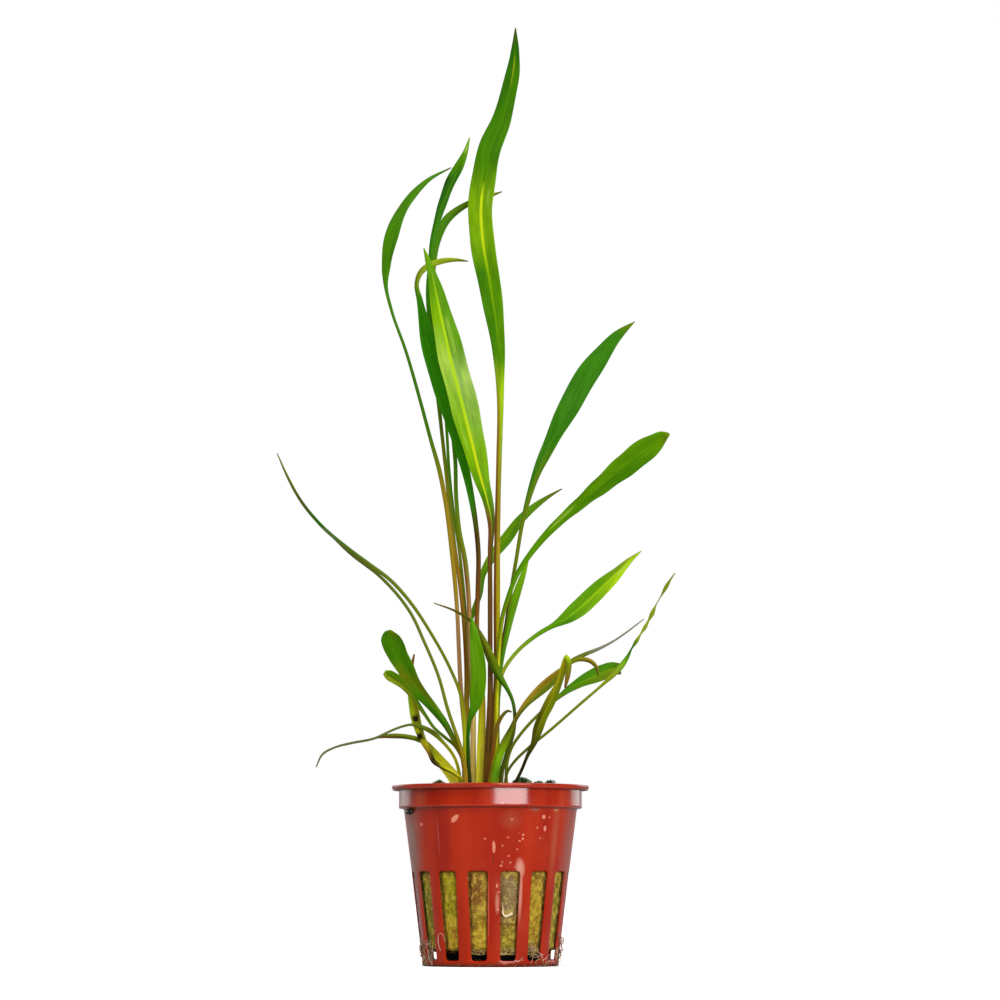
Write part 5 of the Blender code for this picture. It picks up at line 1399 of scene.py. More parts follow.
@dataclass(frozen=True)
class LeafShape:
    """How a leaf's skin is laid round its run, in millimetres.

    A leaf is a round stalk up to one width and a flat blade from another, with a raised midrib.
    """

    round_up_to: float = 1.1
    flat_from: float = 3.0
    fine_step: float = 1.1
    foot_reach: float = 1.3
    thinnest: float = 0.25
    middle: float = 0.42
    edge: float = 0.12
    ridge: float = 0.22
    ridge_reach: float = 0.12
    places: tuple[float, ...] = (-1.0, -0.97, -0.88, -0.74, -0.56, -0.38, -0.22, -0.1, 0.0, 0.1, 0.22, 0.38,
                                 0.56, 0.74, 0.88, 0.97, 1.0)

    def seen(self, across: float, up: float, depth: float) -> np.ndarray:
        """The point at a depth that the eye sees at a place in the upright plane of the pot's axis."""
        on_plane = np.array((across, 0.0, up))
        return EYE + (on_plane - EYE) * (depth - EYE[1]) / -EYE[1]

    def run(self, plan: LeafPlan) -> tuple[np.ndarray, np.ndarray, np.ndarray]:
        """The leaf's run in fine steps, through each of its stops.

        Args:
            plan: The leaf.

        Returns:
            The centres, the widths, and the stop number at each.
        """
        knots = np.array([(*self.seen(a, u, d), w) for a, u, d, w in plan.stops])
        spans = np.linalg.norm(np.diff(knots[:, :3], axis=0), axis=1)
        slopes = np.gradient(knots, np.concatenate(([0.0], np.cumsum(spans))), axis=0)
        # The foot goes down into the crown.
        rows = [knots[0] - np.array((0.0, 0.0, self.foot_reach, 0.0)), knots[0]]
        numbers = [0.0, 0.0]
        for i, span in enumerate(spans):
            parts = max(2, math.ceil(span / self.fine_step))
            for t in np.arange(1, parts + 1) / parts:
                rows.append((2 * t**3 - 3 * t**2 + 1) * knots[i] + (t**3 - 2 * t**2 + t) * span * slopes[i]
                            + (3 * t**2 - 2 * t**3) * knots[i + 1] + (t**3 - t**2) * span * slopes[i + 1])
                numbers.append(i + t)
        run = np.array(rows)
        return run[:, :3], np.maximum(run[:, 3], self.thinnest), np.array(numbers)


class LeafMaker:
    """Builds each leaf: a round, slightly channelled stalk that flattens into a folded blade."""

    def __init__(self, shape: LeafShape) -> None:
        """Takes the shape that every leaf shares."""
        self.shape = shape

    def frames(self, centres: np.ndarray) -> tuple[np.ndarray, np.ndarray]:
        """The run's direction, and the direction across it and the line of sight.

        Args:
            centres: The run's points.

        Returns:
            The directions along and across, one of each a point. The one across keeps its sense upwards.
        """
        steps = np.linalg.norm(np.diff(centres, axis=0), axis=1)
        tangents = np.gradient(centres, np.concatenate(([0.0], np.cumsum(steps))), axis=0)
        tangents /= np.linalg.norm(tangents, axis=1)[:, None]
        across = np.cross((0.0, 1.0, 0.0), tangents)
        across /= np.linalg.norm(across, axis=1)[:, None]
        for i in range(1, len(across)):
            if np.dot(across[i], across[i - 1]) < 0.0:
                across[i] = -across[i]
        return tangents, across

    def build(self, plan: LeafPlan, look: LeafLook, number: int, material: Material) -> Piece:
        """Builds one leaf.

        Args:
            plan: Where the leaf grows.
            look: How its blade is shaped and marked.
            number: Its number, which sets where its waves and its mottling begin.
            material: Its material.

        Returns:
            The leaf.
        """
        shape = self.shape
        centres, widths, stops = shape.run(plan)
        tangents, sides = self.frames(centres)
        reach = np.concatenate(([0.0], np.cumsum(np.linalg.norm(np.diff(centres, axis=0), axis=1))))
        places = np.array(shape.places)
        around = 2 * len(places) - 2
        points, blades = [], []
        for centre, tangent, side, width, s in zip(centres, tangents, sides, widths, reach):
            face = np.cross(side, tangent)
            blade = float(np.interp(width, (shape.round_up_to, shape.flat_from), (0.0, 1.0)))
            turn = math.radians(plan.turn) * blade
            wide = side * math.cos(turn) + face * math.sin(turn)
            high = -side * math.sin(turn) + face * math.cos(turn)
            half = 0.5 * width / math.cos(turn)
            lift = half * math.tan(math.radians(look.fold)) * blade
            # A folded blade is seen a little to one side, so it is moved back.
            centre = centre + side * math.sin(turn) * lift * 0.5
            thin = shape.edge + (shape.middle - shape.edge) * (1.0 - np.abs(places) ** 1.5)
            bulge = np.exp(-(places / shape.ridge_reach) ** 2) * shape.ridge * min(1.0, width / 5.0)
            ball = half * np.sqrt(np.maximum(0.0, 1.0 - places**2))
            flat = 0.5 * thin * np.sqrt(np.maximum(0.0, 1.0 - places**20))
            top = (1.0 - blade) * ball + blade * (flat + 0.4 * bulge)
            under = -(1.0 - blade) * ball - blade * (flat + bulge)
            wave = [math.sin(2.0 * math.pi * (s / look.wave + 0.37 * number + 0.31 * k)) for k in (0, 1)]
            wave = np.where(places < 0.0, wave[0], wave[1]) * np.abs(places) ** 3
            ripple = look.ripple * blade * min(1.0, half / 2.0)
            fold = lift * (np.sqrt(places**2 + 0.01) - 0.5) + ripple * wave
            ring, back = ([centre + wide * half * t + high * (f + h) for t, f, h in zip(places, fold, skin)]
                          for skin in (top, under))
            points += ring + back[-2:0:-1]
            blades += [blade] * around
        piece = make_piece(plan.name, np.array(points), ring_faces(len(centres), around), material)
        across = np.array([*places, *places[-2:0:-1]] * len(centres))
        values = {"along": np.repeat(stops, around) / (len(plan.stops) - 1.0), "across": across,
                  "reach": np.repeat(reach, around) + 61.0 * number, "blade": np.array(blades)}
        for mark_kind in LeafMarkKind:
            values[mark_kind.value] = self.stained(look, mark_kind, across, widths, stops, reach)
        for name, value in values.items():
            layer = piece.data.attributes.new(name, "FLOAT", "POINT")
            layer.data.foreach_set("value", value.astype(np.float32))
        return piece

    @staticmethod
    def stained(look: LeafLook, mark_kind: LeafMarkKind, across: np.ndarray, widths: np.ndarray, stops: np.ndarray,
                reach: np.ndarray) -> np.ndarray:
        """How strongly each point is marked, by a bruise or by a painted highlight.

        Args:
            look: The leaf's look, with its marks.
            mark_kind: The kind of mark, a bruise or a painted highlight.
            across: Each point's place across the leaf.
            widths: The run's widths.
            stops: The run's stop numbers.
            reach: The run's distances.

        Returns:
            A value from 0 to 1 for each point.
        """
        around = len(across) // len(reach)
        reach_of, half_of = np.repeat(reach, around), np.repeat(widths * 0.5, around)
        total = np.zeros(len(across))
        for mark in look.marks:
            if mark.mark_kind is mark_kind:
                far = ((reach_of - np.interp(mark.stop, stops, reach)) / mark.half_long) ** 2
                far = far + ((across - mark.across) * half_of / mark.half_wide) ** 2
                total = np.maximum(total, min(1.0, mark.strength) * np.clip(1.6 - 1.2 * far, 0.0, 1.0))
        return total


class SectorNet:
    """The points and the faces of one sector of the pot, as they are added."""

    # Where a row's points are, as shares of half the sector's width.
    ACROSS = (-1.0, -0.82, -0.62, -0.3, 0.0, 0.3, 0.62, 0.82, 1.0)

    def __init__(self, bearing: float, pitch: float) -> None:
        """Takes the bearing of the sector's middle and half its width, in degrees."""
        self.bearing = bearing
        self.pitch = pitch
        self.points: list[np.ndarray] = []
        self.faces: list[tuple[int, ...]] = []

    def ring(self, places: Iterable[Point]) -> list[int]:
        """Adds points.

        Args:
            places: Each point's bearing from the sector's middle, its radius and its height.

        Returns:
            Their numbers.
        """
        first = len(self.points)
        self.points.extend(on_pot(self.bearing + a, r, z) for a, r, z in places)
        return list(range(first, len(self.points)))

    def join(self, rings: Sequence[list[int]], closed: bool) -> None:
        """Adds the faces between each ring and the next.

        Args:
            rings: The point numbers of each.
            closed: Whether a ring's last point is followed by its first.
        """
        for one, two in zip(rings, rings[1:]):
            for k in range(len(one) if closed else len(one) - 1):
                after = (k + 1) % len(one)
                self.faces.append((one[k], one[after], two[after], two[k]))

    def line(self, radius: float, height: float) -> list[int]:
        """One row of points across the sector."""
        return self.ring((self.pitch * k, radius, height) for k in self.ACROSS)

    def turned(self, *profile: Pair) -> None:
        """The turned surface along a profile of radii and heights."""
        self.join([self.line(r, z) for r, z in profile], False)


@dataclass(frozen=True)
class Pot:
    """The net pot, built as one of its fifteen sectors and turned round the axis. Millimetres and degrees."""

    slots: int = 15
    first_slot: float = -9.2
    slot_width: float = 13.9
    slot_flare: float = 1.0
    wall: float = 0.5
    foot: float = 19.1
    slot_top: float = 22.2
    body_top: float = 24.5
    collar: float = 25.9
    lip: float = 27.9
    z_slot_foot: float = 1.7
    z_slot_top: float = 26.3
    z_body_top: float = 43.9
    z_collar: float = 49.8
    z_rim: float = 50.5
    patch: Pair = (0.6, 27.3)
    floor: float = 1.2
    corner: float = 0.9
    bevel: float = 0.22
    hub: float = 8.0
    floor_slot: float = 16.2
    floor_corner: float = 0.7
    floor_patch: Pair = (7.4, 17.3)
    crisp_deg: float = 38.0

    def outer(self, height: float) -> float:
        """The wall's outer radius at a height."""
        heights = (0.0, self.z_slot_top, self.z_body_top)
        return float(np.interp(height, heights, (self.foot, self.slot_top, self.body_top)))

    @staticmethod
    def mirrored(side: list[Pair], low: float, high: float) -> list[Pair]:
        """A closed outline, from its right side with a point in the middle of its foot and of its top."""
        return [(0.0, low), *side, (0.0, high), *((-x, y) for x, y in side[::-1])]

    def outline(self, low: float, high: float, half: float, corner: float) -> list[Pair]:
        """A rounded rectangle, from the middle of its lower side round to the right.

        Args:
            low: Its lower side.
            high: Its upper side.
            half: Half its width.
            corner: The radius of its corners.

        Returns:
            Pairs of a place across and a place up.
        """
        steps = [math.radians(a) for a in (0.0, 22.5, 45.0, 67.5, 90.0)]
        right = [(half - corner + corner * math.sin(a), low + corner - corner * math.cos(a)) for a in steps]
        upper = [(half - corner + corner * math.cos(a), high - corner + corner * math.sin(a)) for a in steps]
        rise = [(half, low + corner + (high - low - 2.0 * corner) * k / 8.0) for k in range(1, 8)]
        inner = 0.5 * (half - corner)
        return self.mirrored([(inner, low), *right, *rise, *upper, (inner, high)], low, high)

    def frame_of(self, low: float, high: float, half: float) -> list[Pair]:
        """A plain rectangle in the same count of points as an outline, matched to its corners.

        Args:
            low: Its lower side.
            high: Its upper side.
            half: Half its width.

        Returns:
            Pairs of a place across and a place up.
        """
        tall = high - low
        right = [(half * 0.62, low), (half * 0.82, low), (half, low), (half, low + 0.05 * tall),
                 (half, low + 0.09 * tall)]
        upper = [(half, high - 0.09 * tall), (half, high - 0.05 * tall), (half, high), (half * 0.82, high),
                 (half * 0.62, high)]
        rise = [(half, low + tall * (0.09 + 0.82 * k / 8.0)) for k in range(1, 8)]
        return self.mirrored([(half * 0.3, low), *right, *rise, *upper, (half * 0.3, high)], low, high)

    def add_wall_slot(self, net: SectorNet) -> None:
        """Adds the wall's slot, from the patch outside, through the wall, to the patch inside.

        Args:
            net: The sector.
        """
        patch = self.frame_of(*self.patch, net.pitch)
        bevel = self.bevel
        z_middle = 0.5 * (self.z_slot_foot + self.z_slot_top)
        to_degrees = 180.0 / math.pi / self.outer(z_middle)
        half = self.slot_width / 2.0 / to_degrees
        flare = self.slot_flare / self.slot_width / (self.z_slot_top - z_middle)

        def widened(x: float, z: float) -> float:
            """A place across the slot in degrees. A slot is wider at its top than at its foot."""
            return x * to_degrees * (1.0 + flare * (z - z_middle))

        rings = [net.ring((a, self.outer(z), z) for a, z in patch)]
        for out, inwards in ((bevel, 0.0), (bevel * 0.3, bevel * 0.3), (0.0, bevel), (0.0, self.wall - bevel),
                             (bevel, self.wall)):
            low, high = self.z_slot_foot - out, self.z_slot_top + out
            outline = self.outline(low, high, half + out, self.corner + out)
            rings.append(net.ring((widened(x, z), self.outer(z) - inwards, z) for x, z in outline))
        rings.append(net.ring((a, self.outer(z) - self.wall, z) for a, z in patch))
        net.join(rings, True)

    def add_floor_slot(self, net: SectorNet) -> None:
        """Adds the floor's slot, from below, through the floor, to above.

        Args:
            net: The sector.
        """
        patch = self.frame_of(*self.floor_patch, net.pitch)
        bevel = self.bevel
        to_mm = 0.5 * (self.hub + self.floor_slot) * math.pi / 180.0
        half = self.slot_width / 2.0 * to_mm
        rings = [net.ring((a, r, 0.0) for a, r in patch)]
        for out, rise in ((bevel, 0.0), (0.0, bevel), (0.0, self.floor - bevel), (bevel, self.floor)):
            outline = self.outline(self.hub - out, self.floor_slot + out, half + out, self.floor_corner + out)
            rings.append(net.ring((x / to_mm, r, rise) for x, r in outline))
        rings.append(net.ring((a, r, self.floor) for a, r in patch))
        net.join(rings, True)

    def sector(self) -> SectorNet:
        """One sector of the pot, with a slot in its wall and a slot in its floor.

        Returns:
            The sector.
        """
        net = SectorNet(self.first_slot, 180.0 / self.slots)
        self.add_wall_slot(net)
        self.add_floor_slot(net)
        low, high = self.patch
        near, far = self.floor_patch
        collar, lip, top, rim = self.collar, self.lip, self.z_collar, self.z_rim
        inner, body = collar - self.wall, self.body_top - self.wall
        # The foot, and then the plain wall, the collar, the lip and the way down inside.
        net.turned((far, 0.0), (self.foot - 0.5, 0.0), (self.foot - 0.15, 0.12), (self.outer(0.35), 0.35),
                   (self.outer(low), low))
        net.turned((self.outer(high), high), (self.outer(35.0), 35.0), (self.outer(43.2), 43.2),
                   (self.body_top - 0.02, 43.65), (self.body_top + 0.2, 43.95), (collar - 0.3, 44.05),
                   (collar - 0.08, 44.15), (collar, 44.4), (collar, 44.75), (collar, 47.0), (collar, 49.2),
                   (collar, 49.55), (collar + 0.1, 49.74), (collar + 0.35, top), (lip - 0.75, top),
                   (lip - 0.62, top - 0.08), (lip - 0.56, top - 0.35), (lip - 0.46, top - 0.6),
                   (lip - 0.34, top - 0.64), (lip - 0.16, top - 0.3), (lip - 0.04, top + 0.05),
                   (lip, top + 0.2), (lip, rim - 0.26), (lip - 0.08, rim - 0.08), (lip - 0.35, rim),
                   (inner + 0.4, rim), (inner + 0.1, rim - 0.1), (inner, rim - 0.4), (inner, 45.5),
                   (inner - 0.1, 45.2), (body + 0.1, 44.7), (body, 44.4),
                   (self.outer(35.0) - self.wall, 35.0), (self.outer(high) - self.wall, high))
        # The foot's inside and the floor.
        corner = (self.outer(0.9) - self.wall - 0.1, 0.9)
        net.turned((self.outer(low) - self.wall, low), corner)
        net.turned(corner, (self.outer(1.0) - self.wall - 0.5, self.floor), (far, self.floor))
        for height in (0.0, self.floor):
            net.turned((near, height), (4.0, height), (1.0, height))
        # The hub's middle is one point below and one above.
        for height in (0.0, self.floor):
            centre = net.ring([(0.0, 0.0, height)])[0]
            edge = net.line(1.0, height)
            net.faces.extend((centre, one, two) for one, two in zip(edge, edge[1:]))
        return net

    def build(self, repeater: Repeater, material: Material) -> Piece:
        """Builds the pot.

        Args:
            repeater: The tree that turns the sector round the axis.
            material: The pot's material.

        Returns:
            The pot.
        """
        net = self.sector()
        mesh = bpy.data.meshes.new("net_pot_body")
        mesh.from_pydata((np.array(net.points) * MM).tolist(), [], net.faces)
        piece = bpy.data.objects.new("net_pot_body", mesh)
        bpy.context.scene.collection.objects.link(piece)
        repeater.grow(piece, Count=self.slots, Material=material)
        turn_outwards(piece.data)
        shade_by_angle(piece.data, self.crisp_deg)
        return piece


@dataclass(frozen=True)
class Wool:
    """The plug of rock wool: matted, lumpy, and worn along its lower edge."""

    pot: Pot
    reach: float = 1.45
    around: int = 264
    sole: float = 13.5
    z_sole: float = 1.5
    z_foot: float = 4.6
    z_top: float = 48.4
    z_hollow: float = 44.6
    hollow: float = 14.2
    slot_half: float = 7.0
    slot_ease: float = 1.6
    z_slot_top: float = 26.0
    swell: float = 0.75

    def profile(self) -> list[Stop]:
        """The plug's turned outline, from the middle of its sole to the middle of its hollow.

        Returns:
            Rows of a radius, a height, how rough the surface is there, and how far it may be pushed out.
        """
        rows = [(r, self.z_sole, 0.05, 0.0) for r in (0.5, 5.0, 9.0, 12.0)]
        rows += [(self.sole, self.z_sole + 0.1, 0.2, 0.0), (14.0, 2.6, 0.4, 0.1), (14.8, 3.7, 0.5, 0.1),
                 (16.6, 4.2, 0.6, 0.2), (17.7, 4.5, 0.8, 0.6)]
        rows += [(self.pot.outer(height) - self.reach, height, 1.0, 1.0)
                 for height in np.linspace(self.z_foot + 0.4, self.z_top - 1.2, 74)]
        rim = self.pot.outer(self.z_top) - self.reach
        rows += [(rim - 0.3, self.z_top - 0.6, 0.8, 0.5), (rim - 1.1, self.z_top - 0.1, 0.7, 0.0)]
        rows += [(r, self.z_top, 0.7, 0.0) for r in np.linspace(rim - 2.2, self.hollow + 1.6, 6)]
        rows += [(self.hollow + 0.6, self.z_top - 0.8, 0.4, 0.0),
                 (self.hollow + 0.1, self.z_hollow + 0.9, 0.3, 0.0)]
        return rows + [(r, self.z_hollow, 0.1, 0.0) for r in (self.hollow - 0.6, 8.0, 0.5)]

    def build(self, material: Material) -> Piece:
        """Builds the plug.

        Args:
            material: Its material.

        Returns:
            The plug.
        """
        rows = self.profile()
        pitch = 360.0 / self.pot.slots
        points = []
        for radius, height, rough, push in rows:
            for k in range(self.around):
                bearing = 360.0 * k / self.around
                at = on_pot(bearing, radius, height)
                lumps = noise.noise(Vector(at * 0.22)) + 0.6 * noise.noise(Vector(at * 0.6 + 7.0))
                mat = noise.noise(Vector(at * 1.6)) + 0.5 * noise.noise(Vector(at * 3.4 + 3.0))
                # It swells a little in each slot, and is pressed back behind each bar.
                place = abs((bearing - self.pot.first_slot + 0.5 * pitch) % pitch - 0.5 * pitch)
                in_slot = 0.0
                if height < self.z_slot_top:
                    in_slot = min(1.0, max(0.0, (self.slot_half - place) / self.slot_ease))
                offset = rough * (0.34 * lumps + 0.22 * mat) - 0.1 * rough + push * self.swell * in_slot
                if push or radius > self.hollow + 1.5:
                    at = at + on_pot(bearing, 1.0, 0.0) * min(offset, 0.5 + 0.55 * in_slot)
                if not push and rough > 0.3:
                    at = at + np.array((0.0, 0.0, 0.45 * min(0.2, offset)))
                points.append(at)
        return make_piece("rock_wool_plug", np.array(points), ring_faces(len(rows), self.around), material)


@dataclass(frozen=True)
class Cushion:
    """A moss cushion beside the pot's axis: its place, its half sizes and how dense its sprigs are.

    Each bank is a lower lump beside it: a bearing, a radius, a height, half a width and half a height.
    """

    node: str
    bearing: float
    radius: float
    height: float
    half_thick: float
    half_wide: float
    half_tall: float
    density: float = 1.9e7
    banks: tuple[tuple[float, float, float, float, float], ...] = ()


@dataclass(frozen=True)
class Tuft:
    """A tuft of fine roots on the wall near its foot: the bearings and the heights that it reaches between.

    Each thread is one root that shows well, as rows of a bearing, a height and a distance from the wall.
    """

    node: str
    bearings: Pair
    heights: Pair
    strands: int
    seed: int
    threads: tuple[tuple[Point, ...], ...] = ()
    clear: Pair = (0.12, 0.6)
    thick: float = 0.24


CUSHIONS = (
    Cushion("moss_right", 145.0, 15.9, 51.1, 2.4, 3.7, 2.3, banks=((128.0, 17.4, 50.4, 2.6, 1.5),)),
    Cushion("moss_far_right", 110.0, 18.0, 50.5, 1.7, 1.7, 1.8),
    Cushion("moss_left", -119.0, 16.8, 50.5, 2.0, 2.6, 1.8),
)

TUFTS = (
    Tuft("root_tuft_left", (-86.0, -56.0), (0.4, 8.4), 34, 11, (
        ((-44.0, 4.4, 0.2), (-45.5, 6.6, 0.3), (-44.6, 8.6, 0.4), (-42.8, 9.2, 0.4), (-40.6, 9.0, 0.4),
         (-39.0, 8.0, 0.3), (-38.2, 7.0, 0.2)),
        ((-52.0, 1.5, 0.2), (-53.5, 4.0, 0.3), (-54.0, 7.8, 0.2)),
    ), (0.1, 0.3)),
    Tuft("root_tuft_front_right", (26.0, 58.0), (0.3, 3.4), 9, 12, (
        ((33.0, 6.4, 0.3), (34.4, 4.4, 0.5), (37.6, 4.6, 0.6), (41.0, 4.2, 0.6), (44.5, 3.3, 0.5),
         (47.5, 1.8, 0.4), (49.0, 0.8, 0.3)),
        ((34.5, 5.6, 0.3), (36.0, 3.6, 0.5), (39.6, 3.2, 0.6), (43.0, 2.0, 0.5), (45.0, 0.8, 0.3)),
        ((20.5, 1.9, 0.3), (22.0, 1.5, 0.4), (25.0, 1.9, 0.4), (27.4, 2.7, 0.3)),
        ((35.6, 7.0, 0.1), (35.0, 4.8, 0.3), (35.6, 3.0, 0.3)),
    )),
    Tuft("root_tuft_right", (66.0, 92.0), (1.2, 8.0), 34, 13, clear=(0.1, 0.8)),
)

# Loose fibres along the wool's worn lower edge, inside the pot.
WOOL_FRINGE = Tuft("wool_fringe", (-22.0, 50.0), (3.4, 5.2), 90, 14, clear=(-1.7, -0.9), thick=0.16)

ROOT_KNOTS: tuple[Point, ...] = (
    (6.1, -19.4, 14.7), (5.6, -19.6, 14.5), (4.9, -19.8, 14.1), (4.2, -20.0, 13.9), (3.7, -20.0, 14.3),
    (3.4, -20.1, 15.1), (3.5, -20.1, 16.0), (3.2, -20.2, 16.9),
)


def make_blob(name: str, centre: np.ndarray, axes: Sequence[np.ndarray], rough: float, scale: float,
              material: Material, around: int = 28, levels: int = 16) -> Piece:
    """A lumpy rounded body.

    Args:
        name: Its name.
        centre: Its middle, in millimetres.
        axes: Its three half axes, the last of them upright.
        rough: How far its lumps stand out, as a share of its size.
        scale: How fine they are.
        material: Its material.
        around: How many points it has around.
        levels: How many rows it has.

    Returns:
        The body.
    """
    points = []
    for level in range(1, levels):
        lean = math.pi * level / levels
        for k in range(around):
            a = 2.0 * math.pi * k / around
            ray = (axes[0] * math.sin(lean) * math.cos(a) + axes[1] * math.sin(lean) * math.sin(a)
                   - axes[2] * math.cos(lean))
            lump = noise.noise(Vector((centre + ray) * scale))
            points.append(centre + ray * (1.0 - rough + rough * lump))
    faces = ring_faces(levels - 1, around, closed=False)
    foot, top = len(points), len(points) + 1
    points += [centre - axes[2] * (1.0 - rough), centre + axes[2] * (1.0 - rough)]
    last = (levels - 2) * around
    for k in range(around):
        after = (k + 1) % around
        faces += [(foot, after, k), (top, last + k, last + after)]
    return make_piece(name, np.array(points), faces, material)


@dataclass(frozen=True)
class Crown:
    """The low, knobbly rhizome in the hollow of the wool."""

    centre: Pair = (-2.2, 0.0)
    half_width: float = 11.2
    half_depth: float = 10.4
    foot: float = 45.0
    top: float = 48.4
    around: int = 110

    def build(self, material: Material) -> Piece:
        """Builds the rhizome.

        Args:
            material: Its material.

        Returns:
            The rhizome.
        """
        x, y = self.centre
        profile = [(0.3, self.foot), (0.84, self.foot), (0.95, self.foot + 0.5), (0.99, self.foot + 1.4),
                   (0.97, self.top - 1.0), (0.93, self.top - 0.35), (0.86, self.top)]
        profile += [(share, self.top) for share in np.linspace(0.8, 0.05, 22)]
        points = []
        for share, height in profile:
            for k in range(self.around):
                a = 2.0 * math.pi * k / self.around
                wobble = share * (1.0 - 0.04 * math.sin(4.0 * a + 0.6))
                at = Vector((x + self.half_width * wobble * math.cos(a),
                             y + self.half_depth * wobble * math.sin(a), height))
                knob = noise.noise(at * 0.5) + 0.5 * noise.noise(at * 1.3)
                at.z += 0.5 * knob if height > self.top - 0.2 else 0.0
                points.append(tuple(at))
        return make_piece("crown_rhizome", np.array(points), ring_faces(len(profile), self.around), material)


class Moss:
    """Moss cushions: a dark lump each, under a cover of short bent sprigs."""

    def __init__(self, fur: Fur, material: Material) -> None:
        """Takes the tree that scatters sprigs, and the moss's material."""
        self.fur = fur
        self.material = material

    def build(self, cushion: Cushion, number: int) -> Piece:
        """Builds one cushion.

        Args:
            cushion: Where it sits and how big it is.
            number: Its number, for the scatter.

        Returns:
            The cushion.
        """
        centre = on_pot(cushion.bearing, cushion.radius, cushion.height)
        axes = lump_axes(cushion.bearing, cushion.half_thick * 0.9, cushion.half_wide * 0.9,
                         cushion.half_tall * 0.86)
        piece = make_blob(cushion.node + "_cushion", centre, axes, 0.22, 1.1, self.material, 26, 14)
        for bearing, radius, height, wide, tall in cushion.banks:
            axes = lump_axes(bearing, 1.6, wide, tall)
            centre = on_pot(bearing, radius, height)
            piece = merge(piece, make_blob("bank", centre, axes, 0.25, 1.3, self.material, 22, 10))
        sprigs = copied(piece, "sprigs")
        self.fur.grow(sprigs, Density=cushion.density, Length=0.8 * MM, Thickness=0.2 * MM, Lift=0.9,
                      Seed=30 + number, Material=self.material)
        return merge(piece, sprigs)


class Roots:
    """The pale root in a slot, the tufts of fine roots at the foot and the wool's loose fibres."""

    def __init__(self, threads: Threads, material: Material) -> None:
        """Takes the tree that makes threads, and the roots' material."""
        self.threads = threads
        self.material = material

    def pale(self) -> Piece:
        """Builds the pale root, which curls in front of the wool.

        Returns:
            The root.
        """
        edges = [(k, k + 1) for k in range(len(ROOT_KNOTS) - 1)]
        piece = make_piece("root_pale_curl", np.array(ROOT_KNOTS), [], edges=edges)
        self.threads.grow(piece, Thickness=0.78 * MM, Step=0.25 * MM, Wander=0.1 * MM, Taper=0.35,
                          Material=self.material)
        turn_outwards(piece.data)
        return piece

    def tuft(self, tuft: Tuft, pot: Pot) -> Piece:
        """Builds one tuft: many fine strands that wander over each other along the wall.

        Args:
            tuft: Where it lies and how many strands it has.
            pot: The pot that it lies on.

        Returns:
            The tuft.
        """
        draw = np.random.default_rng(tuft.seed)
        runs = [list(thread) for thread in tuft.threads]
        for _ in range(tuft.strands):
            bearing = draw.uniform(*tuft.bearings)
            height = draw.triangular(tuft.heights[0], tuft.heights[0] + 1.0, tuft.heights[1])
            heading = draw.uniform(0.0, 2.0 * math.pi)
            clear = draw.uniform(*tuft.clear)
            run = []
            for _ in range(draw.integers(4, 9)):
                run.append((bearing, height, clear))
                heading += draw.normal(0.0, 0.7)
                bearing = float(np.clip(bearing + 2.9 * math.cos(heading), *tuft.bearings))
                height = float(np.clip(height + 0.95 * math.sin(heading), *tuft.heights))
                clear = float(np.clip(clear + draw.normal(0.0, 0.14), tuft.clear[0], tuft.clear[1] + 0.2))
            runs.append(run)
        points, edges = [], []
        for run in runs:
            first = len(points)
            points += [on_pot(bearing, pot.outer(height) + clear, height) for bearing, height, clear in run]
            edges += [(first + k, first + k + 1) for k in range(len(run) - 1)]
        piece = make_piece(tuft.node + "_strands", np.array(points), [], edges=edges)
        self.threads.grow(piece, Thickness=tuft.thick * MM, Step=0.4 * MM, Wander=0.2 * MM, Taper=0.5,
                          Material=self.material)
        turn_outwards(piece.data)
        return piece


# The crust's grains: how many, how high they reach, how far they stand out and how the wall leans there.
CRUST_GRAINS = 260
CRUST_TOP = 1.5
CRUST_PROUD = 0.03
WALL_SLOPE = 0.118
CRUST_SEED = 5

# Each lump's bearing, radius, height, half width and half height.
SOIL_LUMPS = (
    (-68.0, 24.8, 42.9, 1.9, 0.95),
    (-62.5, 24.7, 43.1, 1.0, 0.6),
    (70.5, 20.1, 8.6, 0.45, 0.4),
    (66.0, 19.2, 0.5, 0.4, 0.3),
    (24.0, 19.3, 0.4, 0.35, 0.25),
)


def make_crust(pot: Pot, material: Material) -> Piece:
    """The tan crust that dried soil left along the pot's foot.

    Args:
        pot: The pot that it sticks to.
        material: The crust's material.

    Returns:
        The crust.
    """
    draw = np.random.default_rng(CRUST_SEED)
    grains = []
    for _ in range(CRUST_GRAINS):
        bearing = draw.uniform(0.0, 360.0)
        height = abs(draw.normal(0.0, 0.5)) + 0.15
        size = draw.uniform(0.10, 0.34)
        radius = pot.foot + WALL_SLOPE * height + CRUST_PROUD
        centre = on_pot(bearing, radius, min(height, CRUST_TOP))
        axes = lump_axes(bearing, size * 0.5, size * draw.uniform(0.8, 1.8), size * 0.7)
        grains.append(make_blob("foot_crust", centre, axes, 0.3, 3.0, material, 7, 5))
    return merge(*grains)


def make_soil(material: Material) -> Piece:
    """The dark soil that sticks to the pot: a lump under the collar and crumbs lower down.

    Args:
        material: Its material.

    Returns:
        The soil.
    """
    lumps = []
    for bearing, radius, height, wide, tall in SOIL_LUMPS:
        centre = on_pot(bearing, radius, height)
        axes = lump_axes(bearing, 0.5 * wide, wide, tall)
        lumps.append(make_blob("soil_lumps", centre, axes, 0.2, 1.6, material, 18, 11))
    return merge(*lumps)


